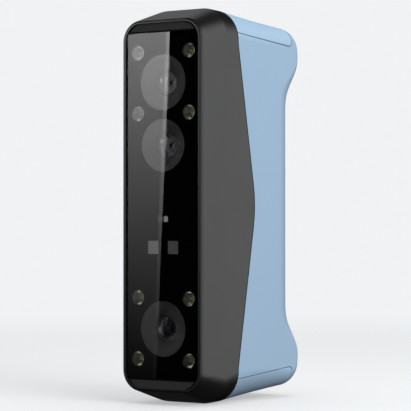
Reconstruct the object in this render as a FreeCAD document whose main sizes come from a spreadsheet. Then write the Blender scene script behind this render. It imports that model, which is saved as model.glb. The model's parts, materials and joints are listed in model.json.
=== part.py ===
import FreeCAD, Part
import math
import operator
import os

from FreeCAD import Placement, Rotation, Vector

# Handheld three-d scanner, in millimetres.
# +Z is up, X runs across the width and the glass front faces -Y.
# The origin is the middle of the rectangle that the scanner covers from above, at its lowest point.
# A depth is counted back from the front rim and a height from the middle of the body.

SIZES = {
    # Outer form
    "body_height": 201.4,
    "body_width": 50.0,
    "body_depth": 91.0,
    "front_height": 187.6,
    "crest_depth": 20.0,
    "crest_rounding": 18.0,
    "tail_slope": 6.7,
    "tail_rounding": 40.0,
    "rear_corner": 11.4,
    "lobe_height": 154.0,
    "lobe_rounding": 60.0,
    "waist_height": 109.0,
    "waist_rounding": 80.0,
    "waist_dip": 2.8,
    "front_edge": 10.6,
    "parting_edge": 16.4,
    "rear_edge": 9.4,
    "lobe_edge": 5.0,
    "waist_edge": 18.0,
    "rim_edge": 1.4,
    "wall": 2.2,
    "corner_margin": 0.1,
    # Parting line between the dark casing and the blue grip
    "parting_depth": 31.7,
    "parting_height": 166.0,
    "parting_rise": 15.9,
    "parting_bend": 12.0,
    "parting_tip": 60.0,
    "gasket_thickness": 0.6,
    "tongue_wall": 1.4,
    "tongue_length": 3.0,
    "tongue_clearance": 0.12,
    # End caps
    "seam_front": 88.2,
    "seam_rear": 84.2,
    "cap_end": 82.2,
    "cap_corner": 2.4,
    "seam_gap": 0.35,
    "lip_reach": 2.4,
    # Front recess and what lies in it
    "recess_width": 45.4,
    "recess_height": 184.8,
    "recess_corner": 9.0,
    "ledge_depth": 4.4,
    "ledge_thickness": 3.4,
    "ledge_width": 41.2,
    "ledge_height": 169.0,
    "ledge_corner": 3.0,
    "bezel_gap": 0.8,
    "bezel_end_gap": 0.3,
    "bezel_depth": 0.9,
    "glass_height": 175.4,
    "glass_corner": 1.5,
    "glass_end_gap": 0.65,
    "glass_depth": 0.5,
    "glass_thickness": 1.2,
    "mask_thickness": 0.3,
    "glass_clearance": 0.15,
    "stack_clearance": 0.1,
    # Cameras
    "outer_camera_height": 62.2,
    "inner_camera_height": 30.4,
    "outer_disc": 28.2,
    "inner_disc": 26.7,
    "baffle_wall": 0.5,
    "baffle_rim": 0.6,
    "baffle_step": 0.62,
    "baffle_clearance": 0.15,
    "barrel_diameter": 13.6,
    "barrel_wall": 1.1,
    "barrel_lip": 0.6,
    "barrel_front": 5.0,
    "barrel_length": 12.6,
    "barrel_clearance": 0.05,
    "barrel_room": 0.1,
    "lens_thickness": 2.6,
    "lens_curve": 17.0,
    "lens_rise": 0.9,
    "holder_side": 22.0,
    "holder_flange": 2.0,
    "holder_tube": 18.4,
    "holder_length": 9.6,
    "sensor_bay": 12.0,
    "sensor_side": 9.4,
    "sensor_thickness": 1.3,
    "camera_board_side": 24.0,
    "board_thickness": 1.2,
    "camera_screw_spacing": 18.6,
    "camera_screw": 2.0,
    "camera_screw_head": 3.6,
    "camera_screw_head_height": 1.2,
    # Fill lights
    "light_spacing": 31.8,
    "light_rise": 15.5,
    "light_cup": 8.4,
    "light_opening": 7.7,
    "light_throat": 3.4,
    "cup_clearance": 0.15,
    "light_chip": 2.2,
    "light_dome": 2.0,
    "light_board_width": 40.0,
    "light_board_height": 41.0,
    "light_board_clearance": 0.3,
    # Pattern projectors and range sensor
    "projector_drop": 21.1,
    "projector_spacing": 12.4,
    "projector_window": 6.7,
    "projector_side": 9.0,
    "projector_length": 11.6,
    "projector_board_width": 32.0,
    "projector_board_height": 17.0,
    "sensor_drop": 6.8,
    "eye_spacing": 3.4,
    "eye_side": 2.9,
    "eye_thickness": 0.7,
    "range_width": 7.2,
    "range_height": 4.2,
    "flange_reach": 1.6,
    "flange_thickness": 1.2,
    "window_clearance": 0.2,
    # Optical frame
    "frame_width": 44.2,
    "frame_height": 180.0,
    "frame_thickness": 3.0,
    "rail_thickness": 2.0,
    "rail_inset": 1.4,
    "rail_height": 140.0,
    "rail_length": 16.2,
    "frame_boss": 6.4,
    "frame_boss_height": 8.0,
    "frame_boss_spacing": 38.4,
    "frame_end_spacing": 34.0,
    "frame_end_height": 87.0,
    "frame_screw": 2.5,
    "frame_screw_length": 5.9,
    "frame_screw_head": 4.5,
    "frame_screw_head_height": 1.8,
    "frame_notch": 7.5,
    "screw_clearance": 0.05,
    # Electronics
    "spreader_thickness": 1.5,
    "spreader_height": 150.0,
    "pad_thickness": 1.0,
    "chip_thickness": 1.5,
    "processor_side": 18.0,
    "memory_width": 12.0,
    "memory_height": 9.0,
    "memory_spacing": 15.0,
    "main_board_width": 42.0,
    "main_board_height": 136.0,
    "main_board_thickness": 1.6,
    "standoff": 4.4,
    "standoff_inset": 4.0,
    "flex_width": 8.0,
    "flex_thickness": 0.3,
    "flex_slot": 1.2,
    # Battery
    "battery_width": 36.4,
    "battery_height": 98.0,
    "battery_thickness": 24.0,
    "battery_depth": 40.0,
    "battery_edge": 3.0,
    "battery_clearance": 0.2,
    "tray_wall": 2.0,
    "tray_clearance": 0.3,
    # Button panel on the rear of the grip
    "panel_height": 58.0,
    "panel_width": 15.4,
    "panel_rise": 6.0,
    "panel_thickness": 2.0,
    "panel_sink": 0.2,
    "panel_clearance": 0.15,
    "panel_lip": 1.6,
    "panel_lip_thickness": 1.4,
    "button_spacing": 14.5,
    "scan_button": 10.4,
    "small_button": 7.6,
    "button_clearance": 0.3,
    "button_flange": 0.8,
    "button_flange_thickness": 0.8,
    "button_rest_gap": 0.1,
    "button_stand": 0.8,
    "button_crown": 0.5,
    "button_travel": 0.5,
    "button_stem": 3.0,
    "switch_side": 6.0,
    "switch_height": 1.6,
    "switch_stem": 0.5,
    "light_pipe": 2.6,
    "light_pipe_rise": 24.5,
    "button_post": 3.0,
    "button_post_length": 2.8,
    # Screws between casing and grip
    "boss": 6.0,
    "boss_spacing": 33.0,
    "boss_height": 81.0,
    "boss_front": 20.0,
    "boss_split": 28.3,
    "boss_back": 38.0,
    "boss_gap": 0.2,
    "web": 3.0,
    "case_screw": 2.5,
    "case_screw_head": 4.6,
    "case_screw_head_height": 2.0,
    "case_screw_reach": 5.0,
    # Inlet and tripod insert
    "inlet_depth": 58.0,
    "inlet_width": 9.0,
    "inlet_thickness": 3.3,
    "inlet_length": 7.4,
    "inlet_wall": 0.35,
    "inlet_floor": 1.0,
    "inlet_tongue": 0.7,
    "inlet_tongue_width": 6.2,
    "inlet_recess_width": 12.6,
    "inlet_recess": 6.8,
    "inlet_sink": 1.2,
    "inlet_clearance": 0.15,
    "inlet_board_width": 16.0,
    "inlet_board_height": 15.0,
    "inlet_rib": 2.6,
    "insert_depth": 25.2,
    "insert_sink": 0.3,
    "insert_diameter": 8.4,
    "insert_length": 9.0,
    "insert_bore": 5.1,
    "insert_bore_length": 7.6,
    "insert_groove": 0.4,
    "insert_wall": 1.6,
    "insert_gap": 0.3,
}

doc = FreeCAD.newDocument("scanner")
sheet = doc.addObject("Spreadsheet::Sheet", "sizes")
for row, (alias, number) in enumerate(SIZES.items(), start=1):
    sheet.set("A%d" % row, alias)
    sheet.set("B%d" % row, str(number))
    sheet.setAlias("B%d" % row, alias)
doc.recompute()


class Size:
    """A length that knows its value and the sheet formula that gives it."""

    SIGNS = {"+": operator.add, "-": operator.sub, "*": operator.mul, "/": operator.truediv}

    def __init__(self, value, formula=None):
        self.value = float(value)
        self.formula = formula or repr(float(value))

    def join(self, sign, other, swapped=False):
        other = other if isinstance(other, Size) else Size(other)
        first, second = (other, self) if swapped else (self, other)
        value = Size.SIGNS[sign](first.value, second.value)
        return Size(value, "(%s %s %s)" % (first.formula, sign, second.formula))

    def __add__(self, other):
        return self.join("+", other)

    def __radd__(self, other):
        return self.join("+", other, swapped=True)

    def __sub__(self, other):
        return self.join("-", other)

    def __rsub__(self, other):
        return self.join("-", other, swapped=True)

    def __mul__(self, other):
        return self.join("*", other)

    def __rmul__(self, other):
        return self.join("*", other, swapped=True)

    def __truediv__(self, other):
        return self.join("/", other)

    def __neg__(self):
        return Size(0) - self

    def __float__(self):
        return self.value


class Sizes:
    """The sheet's cells by name."""

    def __getattr__(self, name):
        return Size(sheet.get(name), "sizes." + name)


s = Sizes()
ALONG_Y = Rotation(Vector(1, 0, 0), -90)
UPRIGHT = Rotation()
front = -s.body_depth / 2
middle = s.body_height / 2
slack = Size(6)
TOUCH = 1e-4
NEARBY = 1.0
BAFFLE_STEPS = 5
parts = []


def depth(distance):
    return front + distance


def height(distance):
    return middle + distance


def around(centre, width):
    return (centre - width / 2, centre + width / 2)


def bind(item, **sizes):
    """Tie properties of an object to the sheet."""
    for name, size in sizes.items():
        item.setExpression(name, size.formula)


def place(item, x, y, z, rotation=UPRIGHT):
    item.Placement = Placement(Vector(float(x), float(y), float(z)), rotation)
    for name, size in (("x", x), ("y", y), ("z", z)):
        item.setExpression("Placement.Base." + name, (Size(0) + size).formula)


def box(label, x, y, z):
    """Block between two positions on each axis."""
    item = doc.addObject("Part::Box", label)
    bind(item, Length=x[1] - x[0], Width=y[1] - y[0], Height=z[1] - z[0])
    place(item, x[0], y[0], z[0])
    return item


def rod(label, x, z, diameter, y):
    """Round bar along Y between two depths."""
    item = doc.addObject("Part::Cylinder", label)
    bind(item, Radius=diameter / 2, Height=y[1] - y[0])
    place(item, x, y[0], z, ALONG_Y)
    return item


def post(label, x, y, diameter, z):
    """Round bar along Z between two heights."""
    item = doc.addObject("Part::Cylinder", label)
    bind(item, Radius=diameter / 2, Height=z[1] - z[0])
    place(item, x, y, z[0])
    return item


def cone(label, x, z, wide, narrow, y):
    """Funnel along Y, wide at the front."""
    item = doc.addObject("Part::Cone", label)
    bind(item, Radius1=wide / 2, Radius2=narrow / 2, Height=y[1] - y[0])
    place(item, x, y[0], z, ALONG_Y)
    return item


def ball(label, x, y, z, radius):
    item = doc.addObject("Part::Sphere", label)
    bind(item, Radius=radius)
    place(item, x, y, z)
    return item


def cut(label, base, *tools):
    """Base less the tools."""
    item = doc.addObject("Part::Cut", label)
    item.Base = base
    item.Tool = tools[0] if len(tools) == 1 else fuse(label + "_tools", *tools)
    return item


def fuse(label, *pieces):
    item = doc.addObject("Part::MultiFuse", label)
    item.Shapes = list(pieces)
    return item


def common(label, *pieces):
    item = doc.addObject("Part::MultiCommon", label)
    item.Shapes = list(pieces)
    return item


def group(label, *pieces):
    """Separate solids that share one node."""
    item = doc.addObject("Part::Compound", label)
    item.Links = list(pieces)
    return item


def part(item):
    """Mark an object as a finished sub-part."""
    parts.append(item)
    return item


def soften(label, base, radius, chosen):
    """Round the chosen edges of an object."""
    doc.recompute()
    item = doc.addObject("Part::Fillet", label)
    item.Base = base
    numbers = [n for n, edge in enumerate(base.Shape.Edges, start=1) if chosen(edge)]
    item.Edges = [(number, float(radius), float(radius)) for number in numbers]
    return item


def runs_along_y(edge):
    size = edge.BoundBox
    return size.YLength > size.XLength + size.ZLength


def runs_along_z(edge):
    size = edge.BoundBox
    return size.ZLength > size.XLength + size.YLength


def rounded_plate(label, width, tall, radius, y, x=Size(0), z=middle):
    """Plate facing the front, with its four corners rounded."""
    blank = box(label + "_blank", around(x, width), y, around(z, tall))
    return soften(label, blank, radius, runs_along_y)


def outline(corners):
    """Closed wire in the YZ plane through (y, z, radius) corners with tangent arcs."""
    bends = []
    for number, (y, z, radius) in enumerate(corners):
        point = Vector(0, y, z)
        if radius <= 0:
            bends.append((point, None, point))
            continue
        before = Vector(0, *corners[number - 1][:2]) - point
        after = Vector(0, *corners[(number + 1) % len(corners)][:2]) - point
        before.normalize()
        after.normalize()
        half_turn = before.getAngle(after) / 2
        reach = radius / math.tan(half_turn)
        inward = (before + after).normalize()
        crown = point + inward * (radius / math.sin(half_turn) - radius)
        bends.append((point + before * reach, crown, point + after * reach))
    edges = []
    for number, (start, crown, end) in enumerate(bends):
        if crown is not None:
            edges.append(Part.Arc(start, crown, end).toShape())
        next_start = bends[(number + 1) % len(bends)][0]
        edges.append(Part.LineSegment(end, next_start).toShape())
    return Part.Wire(edges)


def slab(label, corners, width):
    """Side outline made into a block of the given width across X."""
    wire = outline([(float(y), float(z), float(radius)) for y, z, radius in corners])
    face = Part.Face(wire)
    face.translate(Vector(-float(width) / 2, 0, 0))
    item = doc.addObject("Part::Feature", label)
    item.Shape = face.extrude(Vector(float(width), 0, 0))
    return item


def mirrored(upper):
    """Upper corners and the same corners below the middle."""
    corners = [(y, middle + z, radius) for y, z, radius in upper]
    corners += [(y, middle - z, radius) for y, z, radius in reversed(upper)]
    return corners


def body_form(label, inset, start):
    """The outer form, or the same form drawn in by inset, from the depth start."""
    half = s.body_height / 2 - inset
    rim = s.front_height / 2 - inset
    rise = (s.body_height - s.front_height) / 2 / s.crest_depth
    fall = math.tan(math.radians(float(s.tail_slope)))
    rear = s.body_depth - inset
    rear_half = half - (rear - s.parting_depth) * fall
    corner = s.rear_corner - inset
    upper = [
        (depth(start), rim + start * rise, Size(0)),
        (depth(s.crest_depth), half, s.crest_rounding),
        (depth(s.parting_depth), half, s.tail_rounding),
        (depth(rear), rear_half, corner),
        (depth(rear), s.lobe_height / 2, s.lobe_rounding),
        (depth(rear - s.waist_dip), s.waist_height / 2, s.waist_rounding),
    ]
    width = s.body_width - 2 * inset
    blank = slab(label + "_slab", mirrored(upper), width)

    def share(value, start, end):
        """How far a value lies from start to end, from 0 to 1."""
        return min(1.0, max(0.0, (value - float(start)) / (float(end) - float(start))))

    def blend(first, last, part_way):
        return float(first - inset) + part_way * float(last - first)

    def edge_radius(point):
        """Rounding of a long edge at a point: wide at the waist, tight on the lobes."""
        off_middle = abs(point.z - float(middle))
        parting = depth(s.parting_depth)
        corner_start = depth(rear - corner)
        on_end = off_middle > float(rear_half - corner)
        if on_end and point.y < float(parting):
            return blend(s.front_edge, s.parting_edge, share(point.y, front, parting))
        if on_end and point.y < float(corner_start) + NEARBY:
            return blend(s.parting_edge, s.rear_edge, share(point.y, parting, corner_start))
        if off_middle > float(s.lobe_height / 2) + NEARBY:
            return blend(s.rear_edge, s.lobe_edge, share(off_middle, rear_half, rear_half - corner))
        reach = share(off_middle, s.lobe_height / 2, s.waist_height / 2)
        return blend(s.lobe_edge, s.waist_edge, reach * reach * (3 - 2 * reach))

    item = doc.addObject("Part::Fillet", label)
    item.Base = blank
    rounded = []
    for number, edge in enumerate(blank.Shape.Edges, start=1):
        size = edge.BoundBox
        on_flank = abs(abs(size.XMin) - float(width) / 2) < TOUCH and size.XLength < TOUCH
        if on_flank and size.YMax > float(depth(start)) + TOUCH:
            first = edge_radius(edge.valueAt(edge.FirstParameter))
            last = edge_radius(edge.valueAt(edge.LastParameter))
            rounded.append((number, first, last))
    item.Edges = rounded
    return item


def behind_parting(label, shift):
    """Everything behind the parting line, moved back by shift."""
    line = s.parting_depth + shift
    tip = line + s.parting_rise
    top = s.parting_height / 2
    beyond = s.body_height / 2 + slack
    corners = [
        (depth(line), middle + beyond, Size(0)),
        (depth(line), middle + top, s.parting_bend),
        (depth(tip), middle, s.parting_tip),
        (depth(line), middle - top, s.parting_bend),
        (depth(line), middle - beyond, Size(0)),
        (depth(s.body_depth + slack), middle - beyond, Size(0)),
        (depth(s.body_depth + slack), middle + beyond, Size(0)),
    ]
    return slab(label, corners, s.body_width + 2 * slack)


def cap_block(label, side, draw_in):
    """Space of an end cap, in side view bounded by its seam, drawn in from the seam."""
    beyond = s.body_height / 2 + slack
    rise = (s.seam_front - s.seam_rear) / (s.cap_end - s.parting_depth)
    start = s.parting_depth - slack
    end = s.cap_end - draw_in
    corners = [
        (depth(start), middle + (s.seam_front + slack * rise + draw_in) * side, Size(0)),
        (depth(end), middle + (s.seam_rear + draw_in + draw_in * rise) * side, s.cap_corner),
        (depth(end), middle + beyond * side, Size(0)),
        (depth(start), middle + beyond * side, Size(0)),
    ]
    return slab(label, corners, s.body_width + 2 * slack)


# Depths at which the layers behind the glass meet
glass_back = s.glass_depth + s.glass_thickness
mask_back = glass_back + s.mask_thickness
ledge_back = s.ledge_depth + s.ledge_thickness
frame_back = ledge_back + s.frame_thickness
front_layer = mask_back + s.stack_clearance
light_board_front = ledge_back - s.board_thickness
holder_back = frame_back + s.holder_length
camera_board_back = holder_back + s.board_thickness
spreader_front = frame_back + s.rail_length
spreader_back = spreader_front + s.spreader_thickness
pad_back = spreader_back + s.pad_thickness
main_board_front = pad_back + s.chip_thickness
main_board_back = main_board_front + s.main_board_thickness

CAMERAS = (
    ("upper", s.outer_camera_height, s.outer_disc),
    ("middle", s.inner_camera_height, s.inner_disc),
    ("lower", -s.outer_camera_height, s.outer_disc),
)
LIGHT_GROUPS = (("upper", s.outer_camera_height), ("lower", -s.outer_camera_height))
SIDES = (("left", -1), ("right", 1))
ENDS = (("top", 1), ("bottom", -1))


def light_places(centre):
    """The four lights around a camera."""
    for side in (-1, 1):
        for end in (-1, 1):
            yield side * s.light_spacing / 2, height(centre + end * s.light_rise)


# Forms shared by casing, grip, gasket and caps
outer_form = body_form("outer_form_sharp", Size(0), Size(0))
outer_form = soften(
    "outer_form",
    outer_form,
    s.rim_edge,
    lambda edge: edge.BoundBox.YMax < float(front) + TOUCH,
)
inner_form = body_form("inner_form", s.wall, ledge_back)
tongue_form = body_form("tongue_form", s.wall + s.tongue_clearance, ledge_back)
lining_form = body_form("lining_form", s.wall + s.tongue_wall, ledge_back)
behind_casing = behind_parting("behind_casing", Size(0))
behind_gasket = behind_parting("behind_gasket", s.gasket_thickness)

# Where the shared forms meet along the parting line
shell_ring = cut("shell_ring", outer_form, inner_form)
gasket_layer = cut("gasket_layer", behind_casing, behind_gasket)
part(common("parting_gasket", shell_ring, gasket_layer))


def case_boss(label, side, end, y):
    """Screw boss with a web to the flank wall."""
    x = side * s.boss_spacing / 2
    z = height(end * s.boss_height)
    wall_face = side * (s.body_width / 2 - s.wall / 2)
    web_x = (x, wall_face) if side > 0 else (wall_face, x)
    web = box(label + "_web", web_x, y, around(z, s.web))
    return [rod(label, x, z, s.boss, y), web]


def front_casing():
    """Dark front shell with the recess, the ledge behind it and its bosses."""
    blank = cut("casing_blank", outer_form, behind_casing, inner_form)
    recess = rounded_plate(
        "casing_recess",
        s.recess_width,
        s.recess_height,
        s.recess_corner,
        (depth(-slack), depth(s.ledge_depth)),
    )
    opening = rounded_plate(
        "casing_opening",
        s.ledge_width,
        s.ledge_height,
        s.ledge_corner,
        (depth(-slack), depth(ledge_back + slack)),
    )
    shell = cut("casing_shell", blank, recess, opening)
    added = [shell]
    holes = []
    pilot = s.frame_screw + 2 * s.screw_clearance
    for name, side in SIDES:
        x = side * s.frame_boss_spacing / 2
        z = height(s.frame_boss_height)
        ledge_span = (depth(s.ledge_depth), depth(ledge_back))
        pilot_span = (depth(s.ledge_depth), depth(frame_back))
        added.append(rod("frame_boss_" + name, x, z, s.frame_boss, ledge_span))
        holes.append(rod("frame_pilot_" + name, x, z, pilot, pilot_span))
        for end_name, end in ENDS:
            label = "%s_%s" % (end_name, name)
            x_end = side * s.frame_end_spacing / 2
            z_end = height(end * s.frame_end_height)
            holes.append(rod("end_pilot_" + label, x_end, z_end, pilot, pilot_span))
            span = (depth(s.boss_front), depth(s.boss_split))
            added += case_boss("casing_boss_" + label, side, end, span)
            case_hole = s.case_screw + 2 * s.screw_clearance
            x_case = side * s.boss_spacing / 2
            z_case = height(end * s.boss_height)
            holes.append(rod("casing_hole_" + label, x_case, z_case, case_hole, span))
    boss_width = s.insert_diameter + 2 * s.insert_wall
    seat_top = s.insert_sink + s.insert_length
    y = depth(s.insert_depth)
    added.append(post("insert_boss", Size(0), y, boss_width, (s.wall, seat_top + s.insert_wall)))
    holes.append(post("insert_seat", Size(0), y, s.insert_diameter, (-slack, seat_top)))
    return part(cut("front_casing", fuse("casing_solid", *added), *holes))


def grip_shell():
    """Blue rear shell with its tongue, cap lips, panel opening and bosses."""
    wall = common("grip_wall", shell_ring, behind_gasket)
    lining = cut("grip_lining", inner_form, lining_form)
    tongue_skin = cut("tongue_skin", tongue_form, lining_form)
    ahead = behind_parting("tongue_start", -s.tongue_length)
    behind = behind_parting("tongue_end", s.gasket_thickness + s.tongue_length)
    tongue = cut("tongue", common("tongue_zone", tongue_skin, ahead), behind_gasket)
    root = cut("tongue_root", common("root_zone", lining, behind_gasket), behind)
    added = [tongue, root]
    openings = []
    holes = []
    for end_name, end in ENDS:
        openings.append(cap_block(end_name + "_cap_opening", end, Size(0)))
        outer = cap_block(end_name + "_lip_outer", end, -s.lip_reach)
        inner = cap_block(end_name + "_lip_inner", end, s.lip_reach)
        zone = cut(end_name + "_lip_zone", outer, inner)
        added.append(common(end_name + "_cap_lip", lining, behind_gasket, zone))
        for name, side in SIDES:
            label = "%s_%s" % (end_name, name)
            boss_y = (depth(s.boss_split + s.boss_gap), depth(s.boss_back))
            web_y = (depth(s.parting_depth + s.gasket_thickness), depth(s.boss_back))
            boss, _ = case_boss("grip_boss_" + label, side, end, boss_y)
            _, web = case_boss("grip_rib_" + label, side, end, web_y)
            added += [boss, common("grip_web_" + label, web, behind_gasket)]
            hole = s.case_screw + 2 * s.screw_clearance
            x = side * s.boss_spacing / 2
            holes.append(rod("grip_hole_" + label, x, height(end * s.boss_height), hole, boss_y))
    body = fuse("grip_solid", cut("grip_wall_open", wall, *openings), *added)
    boss_room = s.insert_diameter + 2 * s.insert_wall + 2 * s.insert_gap
    holes.append(
        post("insert_room", Size(0), depth(s.insert_depth), boss_room, (-slack, s.insert_length + slack))
    )
    panel_back = s.body_depth - s.waist_dip - s.panel_sink - s.panel_thickness
    lip_front = panel_back - s.panel_lip_thickness
    z = height(s.panel_rise)
    lip = rounded_plate(
        "panel_lip",
        s.panel_width + 2 * s.panel_lip,
        s.panel_height + 2 * s.panel_lip,
        s.panel_width / 2,
        (depth(lip_front), depth(panel_back)),
        z=z,
    )
    seat = rounded_plate(
        "panel_seat",
        s.panel_width + 2 * s.panel_clearance,
        s.panel_height + 2 * s.panel_clearance,
        s.panel_width / 2 + s.panel_clearance - s.corner_margin,
        (depth(panel_back), depth(s.body_depth + slack)),
        z=z,
    )
    mouth = rounded_plate(
        "panel_mouth",
        s.panel_width - 2 * s.panel_lip,
        s.panel_height - 2 * s.panel_lip,
        s.panel_width / 2 - s.panel_lip - s.corner_margin,
        (depth(lip_front - slack), depth(s.body_depth)),
        z=z,
    )
    posts = []
    for side in (-1, 1):
        for end in (-1, 1):
            x = side * (s.panel_width - s.button_post) / 2
            z_post = z + end * (s.panel_height - s.panel_width) / 2
            span = (depth(lip_front - s.button_post_length), depth(lip_front))
            posts.append(rod("panel_post_%d_%d" % (side, end), x, z_post, s.button_post, span))
    body = fuse("grip_with_panel", body, lip, *posts)
    return part(cut("grip_shell", body, seat, mouth, *holes))


def end_caps():
    """Blue end caps; the lower one has the inlet's opening and rib."""
    behind_cap = behind_parting("behind_cap", s.gasket_thickness + s.tongue_clearance)
    for end_name, end in ENDS:
        block = cap_block(end_name + "_cap_block", end, s.seam_gap)
        if end > 0:
            part(common("top_cap", shell_ring, behind_cap, block))
            continue
        shell = common("bottom_cap_shell", shell_ring, behind_cap, block)
        y = depth(s.inlet_depth)
        recess = box(
            "inlet_recess",
            around(Size(0), s.inlet_recess_width),
            around(y, s.inlet_recess),
            (-slack, inlet_mouth),
        )
        corner = s.inlet_recess / 2 - s.corner_margin
        recess = soften("inlet_recess_round", recess, corner, runs_along_z)
        opening = box(
            "inlet_opening",
            around(Size(0), s.inlet_width + 2 * s.inlet_clearance),
            around(y, s.inlet_thickness + 2 * s.inlet_clearance),
            (-slack, inlet_mouth + s.inlet_length + slack),
        )
        collar = box(
            "inlet_collar",
            around(Size(0), s.inlet_recess_width + s.wall),
            around(y, s.inlet_recess + s.wall),
            (inlet_mouth - s.inlet_sink / 2, inlet_mouth + s.inlet_rib),
        )
        rib = box(
            "inlet_board_rib",
            around(Size(0), s.inlet_board_width),
            (inlet_board_front, inlet_board_front + s.inlet_rib),
            (inlet_mouth - s.inlet_sink / 2, inlet_board_foot),
        )
        solid = fuse("bottom_cap_solid", shell, collar, rib)
        part(cut("bottom_cap", solid, recess, opening))


def front_panel():
    """Bezel with its two chins, the glass and the printed mask behind the glass."""
    width = s.recess_width - 2 * s.bezel_gap
    tall = s.recess_height - 2 * s.bezel_end_gap
    plate = rounded_plate(
        "bezel_plate",
        width,
        tall,
        s.recess_corner - s.bezel_gap,
        (depth(s.bezel_depth), depth(s.ledge_depth)),
    )
    pocket = rounded_plate(
        "bezel_pocket",
        width + 2 * s.glass_clearance,
        s.glass_height + 2 * s.glass_end_gap,
        s.glass_corner,
        (depth(-slack), depth(mask_back)),
    )
    span = (depth(mask_back), depth(s.ledge_depth))
    holes = [pocket]
    openings = []
    mask_span = (depth(glass_back), depth(mask_back))
    for name, centre, disc in CAMERAS:
        ring = disc + 2 * s.baffle_wall
        z = height(centre)
        hole = ring + 2 * s.baffle_clearance
        holes.append(rod("bezel_hole_" + name, Size(0), z, hole, span))
        openings.append(rod("mask_disc_" + name, Size(0), z, disc, mask_span))
    for name, centre in LIGHT_GROUPS:
        for number, (x, z) in enumerate(light_places(centre), start=1):
            label = "%s_%d" % (name, number)
            hole = s.light_cup + 2 * s.cup_clearance
            holes.append(rod("bezel_light_" + label, x, z, hole, span))
            openings.append(rod("mask_light_" + label, x, z, s.light_opening, mask_span))
    for name, side in SIDES:
        x = side * s.projector_spacing / 2
        z = height(-s.projector_drop)
        hole = s.projector_side + 2 * s.window_clearance
        holes.append(box("bezel_window_" + name, around(x, hole), span, around(z, hole)))
        x_span = around(x, s.projector_window)
        z_span = around(z, s.projector_window)
        openings.append(box("mask_window_" + name, x_span, mask_span, z_span))
        x_eye = side * s.eye_spacing / 2
        z_eye = around(height(-s.sensor_drop), s.eye_side)
        openings.append(box("mask_eye_" + name, around(x_eye, s.eye_side), mask_span, z_eye))
    range_x = around(Size(0), s.range_width + 2 * s.window_clearance)
    range_z = around(height(-s.sensor_drop), s.range_height + 2 * s.window_clearance)
    holes.append(box("bezel_range", range_x, span, range_z))
    part(cut("front_bezel", plate, *holes))
    part(
        rounded_plate(
            "window_glass",
            width,
            s.glass_height,
            s.glass_corner,
            (depth(s.glass_depth), depth(glass_back)),
        )
    )
    sheet_blank = rounded_plate("mask_sheet", width, s.glass_height, s.glass_corner, mask_span)
    part(cut("window_mask", sheet_blank, *openings))


def optical_frame():
    """Metal plate with two side rails that carries the cameras and the boards."""
    plate = rounded_plate(
        "frame_plate",
        s.frame_width,
        s.frame_height,
        s.recess_corner,
        (depth(ledge_back), depth(frame_back)),
    )
    added = [plate]
    holes = []
    clear = s.frame_screw + 2 * s.screw_clearance
    span = (depth(ledge_back), depth(frame_back))
    for name, side in SIDES:
        rail_outside = side * (s.frame_width / 2 - s.rail_inset)
        rail_inside = side * (s.frame_width / 2 - s.rail_inset - s.rail_thickness)
        x = (rail_inside, rail_outside) if side > 0 else (rail_outside, rail_inside)
        rail_span = (depth(frame_back), depth(spreader_front))
        added.append(box("frame_rail_" + name, x, rail_span, around(middle, s.rail_height)))
        x_boss = side * s.frame_boss_spacing / 2
        holes.append(rod("frame_hole_" + name, x_boss, height(s.frame_boss_height), clear, span))
        # The rail stops short around the head of the middle screw
        notch_z = around(height(s.frame_boss_height), s.frame_notch)
        notch_y = (depth(frame_back), depth(frame_back + s.frame_notch))
        holes.append(box("frame_notch_" + name, x, notch_y, notch_z))
        for end_name, end in ENDS:
            x_end = side * s.frame_end_spacing / 2
            label = "frame_hole_%s_%s" % (end_name, name)
            holes.append(rod(label, x_end, height(end * s.frame_end_height), clear, span))
        window = s.projector_side + 2 * s.window_clearance
        x_window = around(side * s.projector_spacing / 2, window)
        z_window = around(height(-s.projector_drop), window)
        holes.append(box("frame_window_" + name, x_window, span, z_window))
    for name, centre, _ in CAMERAS:
        bore = s.barrel_diameter + 2 * s.barrel_room
        holes.append(rod("frame_camera_" + name, Size(0), height(centre), bore, span))
        for x, z in camera_screw_places(centre):
            label = "frame_tap_%s_%d_%d" % (name, float(x) > 0, float(z) > float(height(centre)))
            tap = s.camera_screw + 2 * s.screw_clearance
            holes.append(rod(label, x, z, tap, span))
    range_x = around(Size(0), s.range_width + 2 * s.window_clearance)
    range_z = around(height(-s.sensor_drop), s.range_height + 2 * s.window_clearance)
    holes.append(box("frame_range", range_x, span, range_z))
    return part(cut("optical_frame", fuse("frame_solid", *added), *holes))


def camera_screw_places(centre):
    """The two screws of a camera, on a diagonal of its board."""
    reach = s.camera_screw_spacing / 2
    for side in (-1, 1):
        yield side * reach, height(centre + side * reach)


def pan_screw(label, place_xz, diameter, head, span):
    """Pan-head screw along Y with its head at the back; head is (diameter, height)."""
    x, z = place_xz
    tip, seat = span
    shank = rod(label + "_shank", x, z, diameter, (tip, seat))
    head_rod = rod(label + "_head", x, z, head[0], (seat, seat + head[1]))
    drive = rod(label + "_drive", x, z, diameter / 2, (seat + head[1] / 2, seat + head[1]))
    return cut(label, fuse(label + "_blank", shank, head_rod), drive)


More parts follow.
